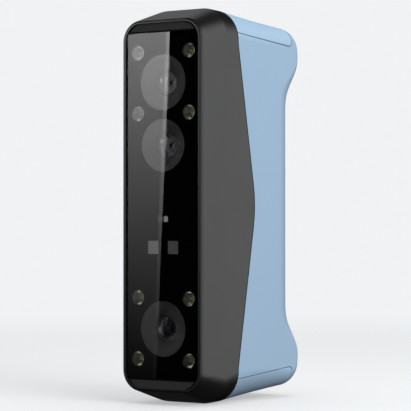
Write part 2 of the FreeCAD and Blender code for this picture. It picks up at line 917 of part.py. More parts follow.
def screws():
    """Frame screws, camera screws and the screws that hold the grip."""
    frame_screws = []
    case_screws = []
    camera_screws = []
    frame_span = (depth(frame_back - s.frame_screw_length), depth(frame_back))
    case_span = (depth(s.boss_split - s.case_screw_reach), depth(s.boss_back))
    camera_span = (depth(ledge_back + s.screw_clearance), depth(camera_board_back))
    frame_head = (s.frame_screw_head, s.frame_screw_head_height)
    case_head = (s.case_screw_head, s.case_screw_head_height)
    camera_head = (s.camera_screw_head, s.camera_screw_head_height)
    for name, side in SIDES:
        places = [(name, side * s.frame_boss_spacing / 2, height(s.frame_boss_height))]
        for end_name, end in ENDS:
            label = "%s_%s" % (end_name, name)
            x_end = side * s.frame_end_spacing / 2
            places.append((label, x_end, height(end * s.frame_end_height)))
            place_xz = (side * s.boss_spacing / 2, height(end * s.boss_height))
            label = "case_screw_" + label
            case_screws.append(pan_screw(label, place_xz, s.case_screw, case_head, case_span))
        for label, x, z in places:
            label = "frame_screw_" + label
            frame_screws.append(pan_screw(label, (x, z), s.frame_screw, frame_head, frame_span))
    for name, centre, _ in CAMERAS:
        for number, place_xz in enumerate(camera_screw_places(centre), start=1):
            label = "camera_screw_%s_%d" % (name, number)
            item = pan_screw(label, place_xz, s.camera_screw, camera_head, camera_span)
            camera_screws.append(item)
    part(group("frame_screws", *frame_screws))
    part(group("case_screws", *case_screws))
    part(group("camera_screws", *camera_screws))


def camera(name, centre, disc):
    """Stepped baffle, barrel with its front lens, holder, image sensor and board."""
    z = height(centre)
    ring = disc + 2 * s.baffle_wall
    body = rod(name + "_baffle_body", Size(0), z, ring, (depth(front_layer), depth(ledge_back)))
    bore = s.barrel_diameter + 2 * s.barrel_room
    shrink = (disc - 2 * s.baffle_rim - bore) / BAFFLE_STEPS
    hollows = []
    for number in range(BAFFLE_STEPS):
        width = disc - 2 * s.baffle_rim - shrink * number
        end = depth(front_layer + s.baffle_step * (number + 1))
        hollows.append(rod("%s_step_%d" % (name, number), Size(0), z, width, (depth(-slack), end)))
    hollows.append(rod(name + "_baffle_bore", Size(0), z, bore, (depth(-slack), depth(ledge_back))))
    part(cut(name + "_baffle", body, *hollows))

    barrel_y = (depth(s.barrel_front), depth(s.barrel_front + s.barrel_length))
    tube = rod(name + "_barrel_tube", Size(0), z, s.barrel_diameter, barrel_y)
    inner = s.barrel_diameter - 2 * s.barrel_wall
    lens_front = s.barrel_front + s.barrel_lip
    cavity = rod(name + "_barrel_cavity", Size(0), z, inner, (depth(lens_front), barrel_y[1]))
    mouth = cone(
        name + "_barrel_mouth",
        Size(0),
        z,
        s.barrel_diameter - s.barrel_wall,
        inner - s.barrel_lip,
        (barrel_y[0], depth(lens_front)),
    )
    part(cut(name + "_lens_barrel", tube, cavity, mouth))

    lens_tip = lens_front + s.stack_clearance - s.lens_rise
    lens_y = (depth(lens_tip), depth(lens_front + s.lens_thickness))
    blank = rod(name + "_lens_blank", Size(0), z, inner - 2 * s.barrel_clearance, lens_y)
    dome = ball(name + "_lens_dome", Size(0), lens_y[0] + s.lens_curve, z, s.lens_curve)
    part(common(name + "_front_lens", blank, dome))

    side = around(Size(0), s.holder_side)
    tall = around(z, s.holder_side)
    whole = (depth(frame_back), depth(holder_back))
    foot = (depth(frame_back), depth(frame_back + s.holder_flange))
    head = (depth(holder_back - s.holder_flange), depth(holder_back))
    solid = fuse(
        name + "_holder_solid",
        box(name + "_holder_flange", side, foot, tall),
        box(name + "_holder_base", side, head, tall),
        rod(name + "_holder_tube", Size(0), z, s.holder_tube, whole),
    )
    thread = s.barrel_diameter + 2 * s.barrel_clearance
    bore = rod(name + "_holder_bore", Size(0), z, thread, whole)
    bay_side = around(Size(0), s.sensor_bay)
    bay = box(name + "_sensor_bay", bay_side, head, around(z, s.sensor_bay))
    board_span = (depth(holder_back), depth(camera_board_back))
    hole = s.camera_screw + 2 * s.screw_clearance
    holes = []
    board_holes = []
    for number, (x_hole, z_hole) in enumerate(camera_screw_places(centre), start=1):
        label = "%s_hole_%d" % (name, number)
        holes.append(rod("holder_" + label, x_hole, z_hole, hole, whole))
        board_holes.append(rod("board_" + label, x_hole, z_hole, hole, board_span))
    part(cut(name + "_lens_holder", solid, bore, bay, *holes))

    board = box(
        name + "_board_blank",
        around(Size(0), s.camera_board_side),
        board_span,
        around(z, s.camera_board_side),
    )
    part(cut(name + "_camera_board", board, *board_holes))
    return box(
        name + "_image_sensor",
        around(Size(0), s.sensor_side),
        (depth(holder_back - s.sensor_thickness), depth(holder_back)),
        around(z, s.sensor_side),
    )


def fill_lights(name, centre):
    """Four reflector cups and four lamps on one board around a camera."""
    cups = []
    lamps = []
    chip_front = light_board_front - s.light_chip / 2
    for number, (x, z) in enumerate(light_places(centre), start=1):
        label = "%s_%d" % (name, number)
        span = (depth(front_layer), depth(light_board_front))
        funnel_span = (span[0], depth(chip_front))
        wide = s.light_opening
        cup = rod("cup_%s_body" % label, x, z, s.light_cup, span)
        funnel = cone("cup_%s_funnel" % label, x, z, wide, s.light_throat, funnel_span)
        throat = rod("cup_%s_throat" % label, x, z, s.light_throat, span)
        cups.append(cut("cup_" + label, cup, funnel, throat))
        side = s.light_chip
        chip = box("chip_" + label, around(x, side), (depth(chip_front), span[1]), around(z, side))
        dome = ball("dome_" + label, x, depth(chip_front), z, s.light_dome / 2)
        lamps.append(fuse("lamp_" + label, chip, dome))
    part(group(name + "_light_cups", *cups))
    part(group(name + "_lamps", *lamps))
    board = box(
        name + "_light_board_blank",
        around(Size(0), s.light_board_width),
        (depth(light_board_front), depth(ledge_back)),
        around(height(centre), s.light_board_height),
    )
    holes = []
    for camera_name, camera_centre, disc in CAMERAS:
        label = "%s_light_board_%s" % (name, camera_name)
        hole = disc + 2 * s.baffle_wall + 2 * s.light_board_clearance
        span = (depth(light_board_front), depth(ledge_back))
        holes.append(rod(label, Size(0), height(camera_centre), hole, span))
    part(cut(name + "_light_board", board, *holes))


def flanged_block(label, x, z, width, tall, y):
    """Block through the frame with a flange that rests on the frame's back."""
    block = box(label + "_block", around(x, width), y, around(z, tall))
    flange = box(
        label + "_flange",
        around(x, width + s.flange_reach),
        (depth(frame_back), depth(frame_back + s.flange_thickness)),
        around(z, tall + 2 * s.flange_reach),
    )
    return fuse(label, block, flange)


def projectors():
    """Two pattern projectors on one board, and the range sensor with its two eyes."""
    windows = []
    eyes = []
    z = height(-s.projector_drop)
    window_back = front_layer + s.eye_thickness
    back = window_back + s.projector_length
    for name, side in SIDES:
        x = side * s.projector_spacing / 2
        span = (depth(window_back), depth(back))
        wide = s.projector_side
        part(flanged_block(name + "_projector", x, z, wide, wide, span))
        span = (depth(front_layer), depth(window_back))
        window = s.projector_window + 2 * s.window_clearance
        windows.append(box("projector_window_" + name, around(x, window), span, around(z, window)))
        x_eye = around(side * s.eye_spacing / 2, s.eye_side)
        eyes.append(box("range_eye_" + name, x_eye, span, around(height(-s.sensor_drop), s.eye_side)))
    part(group("projector_windows", *windows))
    part(
        box(
            "projector_board",
            around(Size(0), s.projector_board_width),
            (depth(back), depth(back + s.board_thickness)),
            around(z, s.projector_board_height),
        )
    )
    z = height(-s.sensor_drop)
    span = (depth(window_back), depth(frame_back + s.flange_thickness))
    part(flanged_block("range_sensor", Size(0), z, s.range_width, s.range_height, span))
    part(group("range_sensor_eyes", *eyes))


def electronics():
    """Heat spreader, thermal pad, main board with chips and standoffs, camera ribbons."""
    width = s.frame_width - 2 * s.rail_inset
    slots = []
    ribbons = []
    for name, centre, _ in CAMERAS:
        z = height(centre)
        slot = s.flex_thickness + 2 * s.flex_slot
        slot_x = around(Size(0), s.flex_width + 2 * s.flex_slot)
        span = (depth(spreader_front), depth(spreader_back))
        slots.append(box("flex_slot_" + name, slot_x, span, around(z, slot)))
        ribbons.append(
            box(
                "flex_" + name,
                around(Size(0), s.flex_width),
                (depth(camera_board_back), depth(main_board_front)),
                around(z, s.flex_thickness),
            )
        )
    plate = box(
        "spreader_plate",
        around(Size(0), width),
        (depth(spreader_front), depth(spreader_back)),
        around(middle, s.spreader_height),
    )
    part(cut("heat_spreader", plate, *slots))
    part(group("camera_ribbons", *ribbons))
    part(
        box(
            "thermal_pad",
            around(Size(0), s.processor_side),
            (depth(spreader_back), depth(pad_back)),
            around(middle, s.processor_side),
        )
    )
    chips = [
        box(
            "processor",
            around(Size(0), s.processor_side),
            (depth(pad_back), depth(main_board_front)),
            around(middle, s.processor_side),
        )
    ]
    for side in (-1, 1):
        x = side * s.memory_spacing / 2
        z = height(-s.processor_side)
        span = (depth(pad_back + s.stack_clearance), depth(main_board_front))
        z_span = around(z, s.memory_height)
        chips.append(box("memory_%d" % side, around(x, s.memory_width), span, z_span))
    part(group("board_chips", *chips))
    part(
        box(
            "main_board",
            around(Size(0), s.main_board_width),
            (depth(main_board_front), depth(main_board_back)),
            around(middle, s.main_board_height),
        )
    )
    standoffs = []
    for side in (-1, 1):
        for end in (-1, 1):
            x = side * (s.main_board_width / 2 - s.standoff_inset)
            z = height(end * (s.main_board_height / 2 - s.standoff_inset))
            span = (depth(spreader_back), depth(main_board_front))
            standoffs.append(rod("standoff_%d_%d" % (side, end), x, z, s.standoff, span))
    part(group("board_standoffs", *standoffs))


def battery():
    """Battery pack in a tray between the flanks of the grip."""
    back = s.battery_depth + s.battery_thickness
    x = around(Size(0), s.battery_width)
    z = around(middle, s.battery_height)
    pack = box("battery_blank", x, (depth(s.battery_depth), depth(back)), z)
    part(soften("battery_pack", pack, s.battery_edge, runs_along_z))
    tray_width = s.body_width - 2 * (s.wall + s.tongue_wall + s.tray_clearance)
    pocket_height = s.battery_height + 2 * s.battery_clearance
    tray_back = back + s.battery_clearance + s.tray_wall
    block = box(
        "tray_block",
        around(Size(0), tray_width),
        (depth(s.battery_depth), depth(tray_back)),
        around(middle, pocket_height + 2 * s.tray_wall),
    )
    pocket = box(
        "tray_pocket",
        around(Size(0), s.battery_width + 2 * s.battery_clearance),
        (depth(s.battery_depth - slack), depth(back + s.battery_clearance)),
        around(middle, pocket_height),
    )
    part(cut("battery_tray", block, pocket))


def buttons():
    """Panel with three push buttons, a light pipe, and the switch board behind."""
    face = s.body_depth - s.waist_dip - s.panel_sink
    back = face - s.panel_thickness
    z = height(s.panel_rise)
    plate = rounded_plate(
        "panel_plate",
        s.panel_width,
        s.panel_height,
        s.panel_width / 2 - s.corner_margin,
        (depth(back), depth(face)),
        z=z,
    )
    holes = []
    switches = []
    board_back = back - s.panel_lip_thickness - s.button_post_length
    span = (depth(back), depth(face))
    named = (
        ("plus_button", s.button_spacing, s.small_button),
        ("scan_button", Size(0), s.scan_button),
        ("minus_button", -s.button_spacing, s.small_button),
    )
    flange_back = back - s.button_rest_gap
    flange_front = flange_back - s.button_flange_thickness
    flange_span = (depth(flange_front), depth(flange_back))
    crown = face + s.button_stand
    switch_top = board_back + s.switch_height + s.switch_stem
    stem_front = switch_top + s.button_travel + s.button_rest_gap
    stem_span = (depth(stem_front), depth(flange_back))
    for name, rise, diameter in named:
        centre = z + rise
        hole = diameter + 2 * s.button_clearance
        holes.append(rod(name + "_hole", Size(0), centre, hole, span))
        stalk_span = (depth(flange_front), depth(crown))
        stalk = rod(name + "_stalk", Size(0), centre, diameter, stalk_span)
        stalk = soften(
            name + "_crowned",
            stalk,
            s.button_crown,
            lambda edge: edge.BoundBox.YMin > float(depth(crown)) - TOUCH,
        )
        rim = diameter + 2 * s.button_flange
        flange = rod(name + "_flange", Size(0), centre, rim, flange_span)
        stem = rod(name + "_stem", Size(0), centre, s.button_stem, stem_span)
        part(fuse(name, stalk, flange, stem))
        switch = box(
            name + "_switch_body",
            around(Size(0), s.switch_side),
            (depth(board_back), depth(board_back + s.switch_height)),
            around(centre, s.switch_side),
        )
        nub_span = (depth(board_back), depth(switch_top))
        nub = rod(name + "_switch_nub", Size(0), centre, s.button_stem, nub_span)
        switches.append(fuse(name + "_switch", switch, nub))
    light_z = z + s.light_pipe_rise
    hole = s.light_pipe + 2 * s.panel_clearance
    holes.append(rod("light_hole", Size(0), light_z, hole, span))
    part(cut("button_panel", plate, *holes))
    part(rod("status_light", Size(0), light_z, s.light_pipe, (depth(board_back), depth(face))))
    part(group("button_switches", *switches))
    part(
        box(
            "button_board",
            around(Size(0), s.panel_width),
            (depth(board_back - s.board_thickness), depth(board_back)),
            around(z, s.panel_height),
        )
    )


def inlet():
    """Inlet receptacle on a small upright board that stands on the lower cap."""
    y = depth(s.inlet_depth)
    span = (inlet_mouth, inlet_mouth + s.inlet_length)
    x = around(Size(0), s.inlet_width)
    corner = s.inlet_thickness / 2 - s.corner_margin
    shell = box("inlet_shell", x, around(y, s.inlet_thickness), span)
    shell = soften("inlet_shell_round", shell, corner, runs_along_z)
    hollow_x = around(Size(0), s.inlet_width - 2 * s.inlet_wall)
    hollow_y = around(y, s.inlet_thickness - 2 * s.inlet_wall)
    hollow_span = (inlet_mouth - slack, inlet_mouth + s.inlet_length - s.inlet_floor)
    hollow = box("inlet_hollow", hollow_x, hollow_y, hollow_span)
    hollow = soften("inlet_hollow_round", hollow, corner - s.inlet_wall, runs_along_z)
    tongue_x = around(Size(0), s.inlet_tongue_width)
    tongue_span = (inlet_mouth + s.inlet_sink, inlet_mouth + s.inlet_length - s.inlet_wall)
    tongue = box("inlet_tongue_block", tongue_x, around(y, s.inlet_tongue), tongue_span)
    part(fuse("inlet_receptacle", cut("inlet_shell_open", shell, hollow), tongue))
    part(
        box(
            "inlet_board",
            around(Size(0), s.inlet_board_width),
            (inlet_board_front, inlet_board_front + s.board_thickness),
            (inlet_board_foot, inlet_board_foot + s.inlet_board_height),
        )
    )


def tripod_insert():
    """Grooved brass insert, flush with the underside, with a blind threaded bore."""
    y = depth(s.insert_depth)
    top = s.insert_sink + s.insert_length
    body = post("insert_body", Size(0), y, s.insert_diameter, (s.insert_sink, top))
    bore_top = s.insert_sink + s.insert_bore_length
    bore = post("insert_bore_hole", Size(0), y, s.insert_bore, (-slack, bore_top))
    groove_z = around(s.insert_sink + s.insert_length / 2, s.insert_wall)
    ring = post("insert_groove_ring", Size(0), y, s.insert_diameter + slack, groove_z)
    neck = s.insert_diameter - 2 * s.insert_groove
    core = post("insert_groove_core", Size(0), y, neck, (-slack, top + slack))
    groove = cut("insert_groove_cutter", ring, core)
    part(cut("tripod_insert", body, bore, groove))


# Heights and depths of the inlet, from the sloping underside at its depth
tail_fall = math.tan(math.radians(float(s.tail_slope)))
inlet_mouth = (s.inlet_depth - s.parting_depth) * tail_fall + s.inlet_sink
inlet_board_front = depth(s.inlet_depth) + s.inlet_thickness / 2
inlet_board_foot = inlet_mouth + s.inlet_rib

front_casing()
grip_shell()
end_caps()
front_panel()
optical_frame()
screws()
part(group("image_sensors", *[camera(*details) for details in CAMERAS]))
for light_group in LIGHT_GROUPS:
    fill_lights(*light_group)
projectors()
electronics()
battery()
buttons()
inlet()
tripod_insert()
doc.recompute()

for item in doc.Objects:
    if "Invalid" in item.State or "Error" in item.State:
        raise RuntimeError("%s failed" % item.Label)
for item in parts:
    shape = item.Shape
    if shape.isNull() or not shape.isValid() or not shape.Solids:
        raise RuntimeError("%s has no sound shape" % item.Label)

os.makedirs("parts", exist_ok=True)
for item in parts:
    item.Shape.exportStep("parts/%s.step" % item.Label)
    print("%s: %d solid(s), %.1f mm3" % (item.Label, len(item.Shape.Solids), item.Shape.Volume))
print("%d sub-parts" % len(parts))
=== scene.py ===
"""Looks of the handheld three-d scanner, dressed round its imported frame.

Sizes are in millimetres until they go into a mesh, which is in metres.
A depth is counted back from the scanner's front rim.
"""

import sys

import json
import logging
import math
from dataclasses import dataclass, field
from enum import Enum
from typing import Iterable, Optional, Sequence

import bpy
from mathutils import Matrix, Vector


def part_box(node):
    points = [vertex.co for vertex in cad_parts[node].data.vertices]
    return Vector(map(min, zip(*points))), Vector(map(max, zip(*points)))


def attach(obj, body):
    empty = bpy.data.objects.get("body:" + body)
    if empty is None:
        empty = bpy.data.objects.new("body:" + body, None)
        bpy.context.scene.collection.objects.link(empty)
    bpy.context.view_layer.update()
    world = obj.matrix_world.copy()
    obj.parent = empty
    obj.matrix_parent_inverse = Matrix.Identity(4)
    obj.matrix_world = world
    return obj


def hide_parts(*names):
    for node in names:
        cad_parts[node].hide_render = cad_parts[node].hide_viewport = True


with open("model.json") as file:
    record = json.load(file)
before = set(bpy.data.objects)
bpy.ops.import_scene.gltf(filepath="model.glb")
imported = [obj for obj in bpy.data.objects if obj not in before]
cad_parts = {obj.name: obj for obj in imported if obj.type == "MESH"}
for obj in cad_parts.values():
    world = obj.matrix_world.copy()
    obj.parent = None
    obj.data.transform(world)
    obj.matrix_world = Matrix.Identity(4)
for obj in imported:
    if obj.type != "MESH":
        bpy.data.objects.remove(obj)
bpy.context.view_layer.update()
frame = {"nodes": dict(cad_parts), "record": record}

LOG = logging.getLogger("scanner")
BODY = "scanner_body"
CAMERAS = ("upper", "middle", "lower")
LIGHT_GROUPS = ("upper", "lower")
# One millimetre in metres, and the front rim's Y in millimetres
MM = 0.001
FRONT_RIM = -45.5
# Points that are closer than this, in metres, are merged
WELD = 2e-6
# Faces that meet at less than these angles become one face, or are shaded as one
FLAT_ANGLE = math.radians(0.2)
SMOOTH_ANGLE = math.radians(32)
# Strength and tint of the pale surroundings
BACKDROP = 0.9
DAYLIGHT = (0.98, 0.99, 1.0, 1.0)

Point = tuple[float, float, float]
Colour = tuple[float, float, float]
Pair = tuple[float, float]
Ring = tuple[float, float]
Socket = bpy.types.NodeSocket
Sockets = bpy.types.bpy_prop_collection


def depth(distance: float) -> float:
    """Y of a depth behind the front rim, in millimetres."""
    return FRONT_RIM + distance


def at_depths(rings: Iterable[Ring]) -> list[Ring]:
    """Rings of radius and depth with each depth turned into its Y."""
    return [(radius, depth(place)) for radius, place in rings]


def node_middle(node: str) -> Vector:
    """Middle of a node's box, in millimetres."""
    low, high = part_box(node)
    return (low + high) / 2 / MM


def node_span(node: str, axis: int) -> Pair:
    """Lowest and highest place of a node on one axis, in millimetres."""
    low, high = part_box(node)
    return low[axis] / MM, high[axis] / MM


class Axis(Enum):
    """The line that a turned piece is turned about."""

    ALONG_Y = 1
    UPRIGHT = 2


class Shaping(Enum):
    """What one solid does to another."""

    KEEP_COMMON = "INTERSECT"
    CUT_OUT = "DIFFERENCE"


class Symbol(Enum):
    """The raised mark on a button."""

    PLUS = "plus"
    MINUS = "minus"
    TARGET = "target"


class MetalTexture(Enum):
    """How a metal face is worked."""

    TURNED = "turned"
    BRUSHED = "brushed"
    BLASTED = "blasted"


class Bench:
    """Modelling moves that the sub-assemblies share."""

    CORNER_STEPS = 16

    @staticmethod
    def clear() -> None:
        """Leave edit mode and deselect everything."""
        if bpy.context.object is not None and bpy.context.object.mode != "OBJECT":
            bpy.ops.object.mode_set(mode="OBJECT")
        bpy.ops.object.select_all(action="DESELECT")

    @staticmethod
    def choose(piece: bpy.types.Object) -> None:
        """Select one piece alone and make it active.

        Args:
            piece: the piece to select.
        """
        Bench.clear()
        piece.select_set(True)
        bpy.context.view_layer.objects.active = piece

    @staticmethod
    def rename(piece: bpy.types.Object, name: str) -> None:
        """Give a piece and its mesh one name."""
        piece.name = name
        piece.data.name = name

    @staticmethod
    def named(name: str) -> bpy.types.Object:
        """Name the primitive just added and put its place into its mesh.

        Args:
            name: name of the piece.

        Returns:
            The piece.
        """
        piece = bpy.context.object
        Bench.rename(piece, name)
        bpy.ops.object.transform_apply(location=True, rotation=True, scale=True)
        return piece

    @staticmethod
    def close_up() -> None:
        """Merge doubles, turn the faces outwards and leave edit mode."""
        bpy.ops.mesh.select_all(action="SELECT")
        bpy.ops.mesh.remove_doubles(threshold=WELD)
        bpy.ops.mesh.normals_make_consistent(inside=False)
        bpy.ops.object.mode_set(mode="OBJECT")

    @staticmethod
    def smooth(piece: bpy.types.Object) -> None:
        """Shade a piece smooth where its faces meet at a small angle."""
        Bench.choose(piece)
        bpy.ops.object.shade_smooth_by_angle(angle=SMOOTH_ANGLE)

    @staticmethod
    def modified(piece: bpy.types.Object, kind: str, **settings: object) -> None:
        """Add a modifier to the active piece, set it and apply it.

        Args:
            piece: the active piece.
            kind: the modifier's type.
            settings: the modifier's values.
        """
        bpy.ops.object.modifier_add(type=kind)
        modifier = piece.modifiers[-1]
        for name, value in settings.items():
            setattr(modifier, name, value)
        bpy.ops.object.modifier_apply(modifier=modifier.name)

    @staticmethod
    def turned(
        name: str,
        centre: Pair,
        profile: Sequence[Ring],
        sides: int = 64,
        axis: Axis = Axis.ALONG_Y,
        capped: bool = False,
    ) -> bpy.types.Object:
        """Turn a profile by extruding and scaling one ring after another.

        Args:
            name: name of the piece.
            centre: the two places of the axis, (x, z) along Y or (x, y) upright.
            profile: (radius, place along the axis) of each ring; a last radius of 0 is a pole.
            sides: corners of each ring.
            axis: the line that it turns about.
            capped: whether the first ring is closed by a face.

        Returns:
            The turned piece.
        """
        Bench.clear()
        radius, place = profile[0]
        along_y = axis is Axis.ALONG_Y
        start = (centre[0], place, centre[1]) if along_y else (centre[0], centre[1], place)
        bpy.ops.mesh.primitive_circle_add(
            vertices=sides,
            radius=radius * MM,
            fill_type="TRIFAN" if capped else "NOTHING",
            location=Vector(start) * MM,
            rotation=(math.pi / 2 if along_y else 0, 0, 0),
        )
        piece = Bench.named(name)
        bpy.ops.object.mode_set(mode="EDIT")
        bpy.ops.mesh.select_all(action="SELECT")
        if capped:
            bpy.ops.mesh.region_to_loop()
        for (old_radius, old_place), (radius, place) in zip(profile, profile[1:]):
            shift = (place - old_place) * MM
            move = (0, shift, 0) if along_y else (0, 0, shift)
            bpy.ops.mesh.extrude_edges_move(TRANSFORM_OT_translate={"value": move})
            share = radius / old_radius
            pivot = (centre[0], place, centre[1]) if along_y else (centre[0], centre[1], place)
            bpy.ops.transform.resize(
                value=(share, 1, share) if along_y else (share, share, 1),
                center_override=Vector(pivot) * MM,
            )
        Bench.close_up()
        Bench.smooth(piece)
        return piece

    @staticmethod
    def block(name: str, middle: Sequence[float], size: Sequence[float], bevel: float) -> bpy.types.Object:
        """Block with broken edges.

        Args:
            name: name of the piece.
            middle: its middle, in millimetres.
            size: its three sizes, in millimetres.
            bevel: how far its edges are cut back.

        Returns:
            The block.
        """
        Bench.clear()
        bpy.ops.mesh.primitive_cube_add(size=1, location=Vector(middle) * MM, scale=Vector(size) * MM)
        piece = Bench.named(name)
        Bench.bevel(piece, bevel)
        Bench.smooth(piece)
        return piece

    @staticmethod
    def bevel(piece: bpy.types.Object, width: float, segments: int = 2) -> None:
        """Break the sharp edges of a piece with an applied bevel.

        Args:
            piece: the piece to bevel.
            width: how far its edges are cut back, in millimetres.
            segments: steps in each broken edge.
        """
        Bench.choose(piece)
        Bench.modified(
            piece,
            "BEVEL",
            width=width * MM,
            segments=segments,
            limit_method="ANGLE",
            angle_limit=SMOOTH_ANGLE,
        )

    @staticmethod
    def repeated(name: str, model: bpy.types.Object, shifts: Iterable[Point]) -> bpy.types.Object:
        """Copy a model to each shift, join the copies and remove the model.

        Args:
            name: name of the joined piece.
            model: the piece that is copied.
            shifts: moves from the model's place, in millimetres.

        Returns:
            The joined copies.
        """
        copies = []
        for shift in shifts:
            copy = bpy.data.objects.new(name, model.data.copy())
            copy.data.transform(Matrix.Translation(Vector(shift) * MM))
            bpy.context.scene.collection.objects.link(copy)
            copies.append(copy)
        Bench.clear()
        bpy.data.objects.remove(model)
        return Bench.joined(name, copies)

    @staticmethod
    def joined(name: str, pieces: Sequence[bpy.types.Object]) -> bpy.types.Object:
        """Join pieces into one.

        Args:
            name: name of the joined piece.
            pieces: the pieces to join.

        Returns:
            The joined piece.
        """
        Bench.clear()
        for piece in pieces:
            piece.select_set(True)
        whole = pieces[0]
        bpy.context.view_layer.objects.active = whole
        if len(pieces) > 1:
            bpy.ops.object.join()
        Bench.rename(whole, name)
        return whole

    @staticmethod
    def rounded_plate(name: str, place: Pair, size: Pair, corner: float, span: Pair) -> bpy.types.Object:
        """Upright plate across the front with round corners.

        Args:
            name: name of the piece.
            place: middle of the plate, across and up, in millimetres.
            size: width and height, in millimetres.
            corner: radius of the corners, in millimetres.
            span: depths of its front and back.

        Returns:
            The plate.
        """
        Bench.clear()
        middle = (place[0], (depth(span[0]) + depth(span[1])) / 2, place[1])
        scale = (size[0], span[1] - span[0], size[1])
        bpy.ops.mesh.primitive_cube_add(size=1, location=Vector(middle) * MM, scale=Vector(scale) * MM)
        piece = Bench.named(name)
        bpy.ops.object.mode_set(mode="EDIT")
        bpy.ops.mesh.select_mode(type="EDGE")
        bpy.ops.mesh.select_all(action="DESELECT")
        bpy.ops.object.mode_set(mode="OBJECT")
        points = piece.data.vertices
        for edge in piece.data.edges:
            start, end = (points[number].co for number in edge.vertices)
            edge.select = abs(start.y - end.y) > WELD
        bpy.ops.object.mode_set(mode="EDIT")
        bpy.ops.mesh.bevel(offset=corner * MM, segments=Bench.CORNER_STEPS, affect="EDGES")
        bpy.ops.mesh.select_mode(type="VERT")
        bpy.ops.object.mode_set(mode="OBJECT")
        return piece

    @staticmethod
    def shape_by(piece: bpy.types.Object, other: bpy.types.Object, shaping: Shaping) -> None:
        """Shape a piece by another and remove the other.

        Args:
            piece: the piece that is shaped.
            other: the piece that shapes it.
            shaping: what the other does to it.
        """
        Bench.choose(piece)
        Bench.modified(piece, "BOOLEAN", operation=shaping.value, object=other)
        bpy.data.objects.remove(other)

    @staticmethod
    def copied(node: str, name: str) -> bpy.types.Object:
        """Copy a node and weld its triangles into clean faces.

        Args:
            node: the CAD node to copy.
            name: name of the new piece.

        Returns:
            The copy.
        """
        Bench.clear()
        piece = bpy.data.objects.new(name, frame["nodes"][node].data.copy())
        piece.data.name = name
        bpy.context.scene.collection.objects.link(piece)
        Bench.choose(piece)
        if piece.data.has_custom_normals:
            bpy.ops.mesh.customdata_custom_splitnormals_clear()
        bpy.ops.object.mode_set(mode="EDIT")
        bpy.ops.mesh.select_all(action="SELECT")
        bpy.ops.mesh.remove_doubles(threshold=WELD)
        bpy.ops.mesh.dissolve_limited(angle_limit=FLAT_ANGLE)
        bpy.ops.object.mode_set(mode="OBJECT")
        return piece

    @staticmethod
    def soften(piece: bpy.types.Object, width: float, segments: int = 2) -> None:
        """Break a piece's sharp edges and keep its flat faces flat in their shading.

        Args:
            piece: the piece to soften.
            width: how far its edges are cut back, in millimetres.
            segments: steps in each broken edge.
        """
        Bench.bevel(piece, width, segments)
        Bench.smooth(piece)
        Bench.modified(piece, "WEIGHTED_NORMAL", keep_sharp=True)

    @staticmethod
    def softened(node: str, name: str, width: float, segments: int = 2) -> bpy.types.Object:
        """Copy a node and break its sharp edges.

        Args:
            node: the CAD node to copy.
            name: name of the new piece.
            width: how far the edges are cut back, in millimetres.
            segments: steps in each broken edge.

        Returns:
            The softened copy.
        """
        piece = Bench.copied(node, name)
        Bench.soften(piece, width, segments)
        return piece


def fit(
    piece: bpy.types.Object,
    finish: bpy.types.Material,
    replaces: Sequence[str] = (),
    body: str = BODY,
) -> None:
    """Dress a piece, let it ride on its body and report it.

    Args:
        piece: the finished piece.
        finish: the material it gets.
        replaces: the CAD nodes that it stands for.
        body: the body that it rides on.
    """
    piece.data.materials.clear()
    piece.data.materials.append(finish)
    if replaces:
        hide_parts(*replaces)
    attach(piece, body)
    LOG.info("%s: %d faces on %s", piece.name, len(piece.data.polygons), body)


def dress(nodes: Iterable[str], finish: bpy.types.Material) -> None:
    """Give CAD nodes a finish in place of their plain one.

    Args:
        nodes: names of the nodes.
        finish: the material that they get.
    """
    for node in nodes:
        mesh = frame["nodes"][node].data
        mesh.materials.clear()
        mesh.materials.append(finish)
        LOG.info("%s dressed in %s", node, finish.name)


